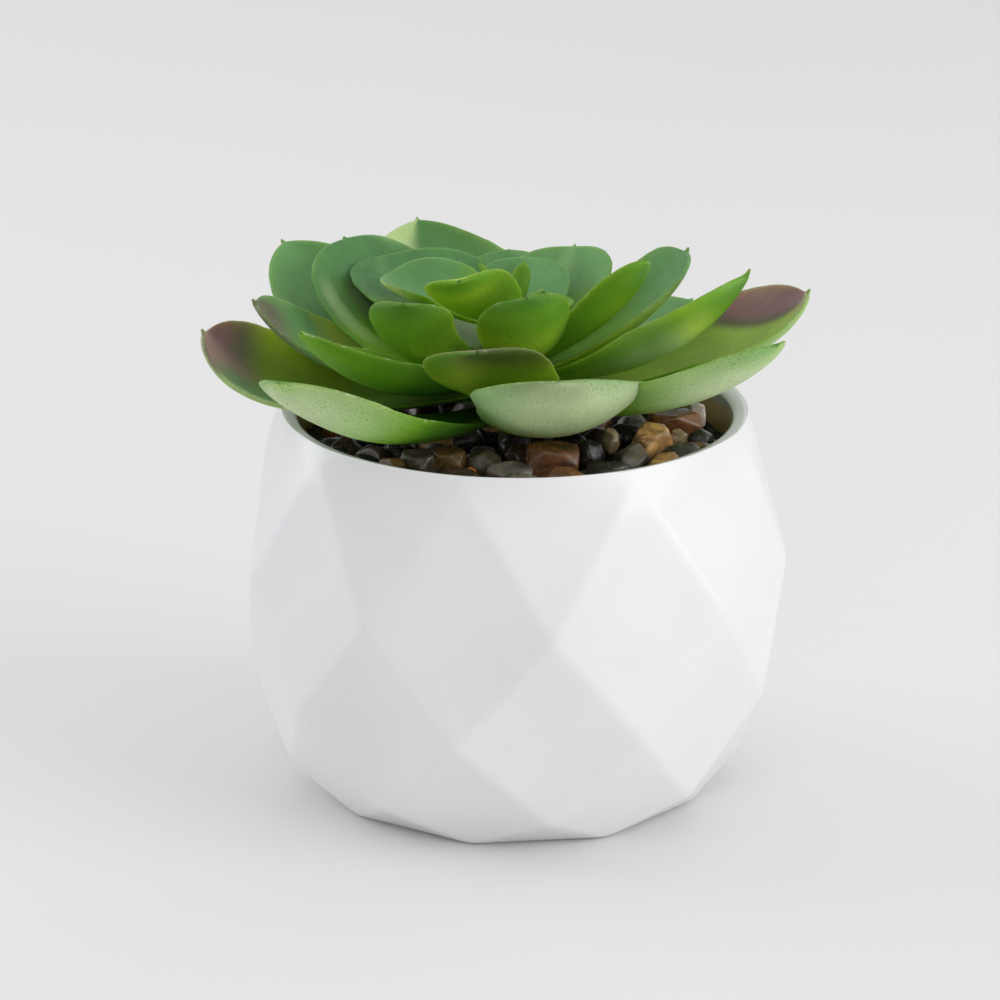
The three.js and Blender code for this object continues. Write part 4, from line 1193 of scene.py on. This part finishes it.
def area_light(name, direction, size, tint, watts):
    """A square area light that looks at the plant from a turn and an elevation in degrees. The
    camera doesn't see the lamp itself."""
    light = bpy.data.lights.new(name, "AREA")
    light.size = size
    light.energy = watts
    light.color = tint
    lamp = bpy.data.objects.new(name, light)
    turn, elevation = (math.radians(angle) for angle in direction)
    flat, rise = LIGHT_DISTANCE * math.cos(elevation), LIGHT_DISTANCE * math.sin(elevation)
    lamp.location = (flat * math.sin(turn), -flat * math.cos(turn), LIGHT_AIM + rise)
    lamp.rotation_euler = (math.pi / 2 - elevation, 0.0, turn)
    lamp.visible_camera = False
    bpy.context.scene.collection.objects.link(lamp)


class AEONIUM_OT_stage(bpy.types.Operator):
    """Sets the floor, the soft lights and the camera"""
    bl_idname = "aeonium.stage"
    bl_label = "Stage"

    def execute(self, context):
        settings = context.scene.aeonium_stage
        scene = context.scene
        far = FLOOR_HALF_WIDTH
        corners = [(-far, -far, 0), (far, -far, 0), (far, far, 0), (-far, far, 0)]
        mesh = bpy.data.meshes.new("floor")
        mesh.from_pydata(corners, [], [(0, 1, 2, 3)])
        mesh.materials.append(floor_material(settings))
        floor = bpy.data.objects.new("floor", mesh)
        scene.collection.objects.link(floor)

        for name, direction, size, tint in LIGHTS:
            area_light(name, direction, size, tint, getattr(settings, f"{name}_power"))
        world = bpy.data.worlds.new("soft_room")
        world.use_nodes = True
        sky = world.node_tree.nodes["Background"]
        sky.inputs["Color"].default_value = (0.975, 0.98, 1.0, 1.0)
        sky.inputs["Strength"].default_value = settings.ambient
        scene.world = world

        data = bpy.data.cameras.new("camera")
        data.lens = settings.lens
        data.sensor_width = SENSOR_WIDTH
        data.clip_start = 0.01        # metres
        camera = bpy.data.objects.new("camera", data)
        tilt = math.radians(CAMERA_ELEVATION)
        back = np.array([0.0, -math.cos(tilt), math.sin(tilt)])
        camera.location = (np.array(CAMERA_TARGET) + back * CAMERA_DISTANCE) * MM
        roll = math.radians(CAMERA_ROLL)
        up = math.radians(90 - CAMERA_ELEVATION)
        turn_up = np.array([[1, 0, 0], [0, math.cos(up), -math.sin(up)],
                            [0, math.sin(up), math.cos(up)]])
        turn_about = np.array([[math.cos(roll), -math.sin(roll), 0],
                               [math.sin(roll), math.cos(roll), 0], [0, 0, 1]])
        rotation = turn_up @ turn_about
        camera.rotation_euler = (
            math.atan2(rotation[2, 1], rotation[2, 2]), math.asin(-rotation[2, 0]),
            math.atan2(rotation[1, 0], rotation[0, 0]))
        scene.collection.objects.link(camera)
        scene.camera = camera
        scene.view_settings.view_transform = "Standard"
        return {"FINISHED"}


# ------------------------------------------------------------------------------ panel
class AEONIUM_PT_panel(bpy.types.Panel):
    """Lists the settings and the builders"""
    bl_idname = "AEONIUM_PT_panel"
    bl_label = "Potted aeonium"
    bl_space_type = "VIEW_3D"
    bl_region_type = "UI"
    bl_category = "Aeonium"

    def draw(self, context):
        for group, operator in (("aeonium_pot", "aeonium.pot"),
                                ("aeonium_pebbles", "aeonium.pebbles"),
                                ("aeonium_leaves", "aeonium.whorl"),
                                ("aeonium_stage", "aeonium.stage")):
            box = self.layout.box()
            settings = getattr(context.scene, group)
            for key in settings.bl_rna.properties.keys():
                if key not in ("rna_type", "name"):
                    box.prop(settings, key)
            box.operator(operator)
        self.layout.operator("aeonium.core")


SETTINGS = {
    "aeonium_pot": AeoniumPotSettings,
    "aeonium_pebbles": AeoniumPebbleSettings,
    "aeonium_leaves": AeoniumLeafSettings,
    "aeonium_stage": AeoniumStageSettings,
}
CLASSES = (*SETTINGS.values(), AEONIUM_OT_pot, AEONIUM_OT_pebbles, AEONIUM_OT_core,
           AEONIUM_OT_whorl, AEONIUM_OT_stage, AEONIUM_PT_panel)


def register():
    for entry in CLASSES:
        bpy.utils.register_class(entry)
    for name, group in SETTINGS.items():
        setattr(bpy.types.Scene, name, bpy.props.PointerProperty(type=group))


def unregister():
    for name in SETTINGS:
        delattr(bpy.types.Scene, name)
    for entry in reversed(CLASSES):
        bpy.utils.unregister_class(entry)


def main():
    register()
    bpy.ops.aeonium.pot()
    bpy.ops.aeonium.pebbles()
    bpy.ops.aeonium.core()
    for index in range(len(WHORLS)):
        bpy.ops.aeonium.whorl(index=index)
    bpy.ops.aeonium.stage()


if __name__ == "__main__":
    main()
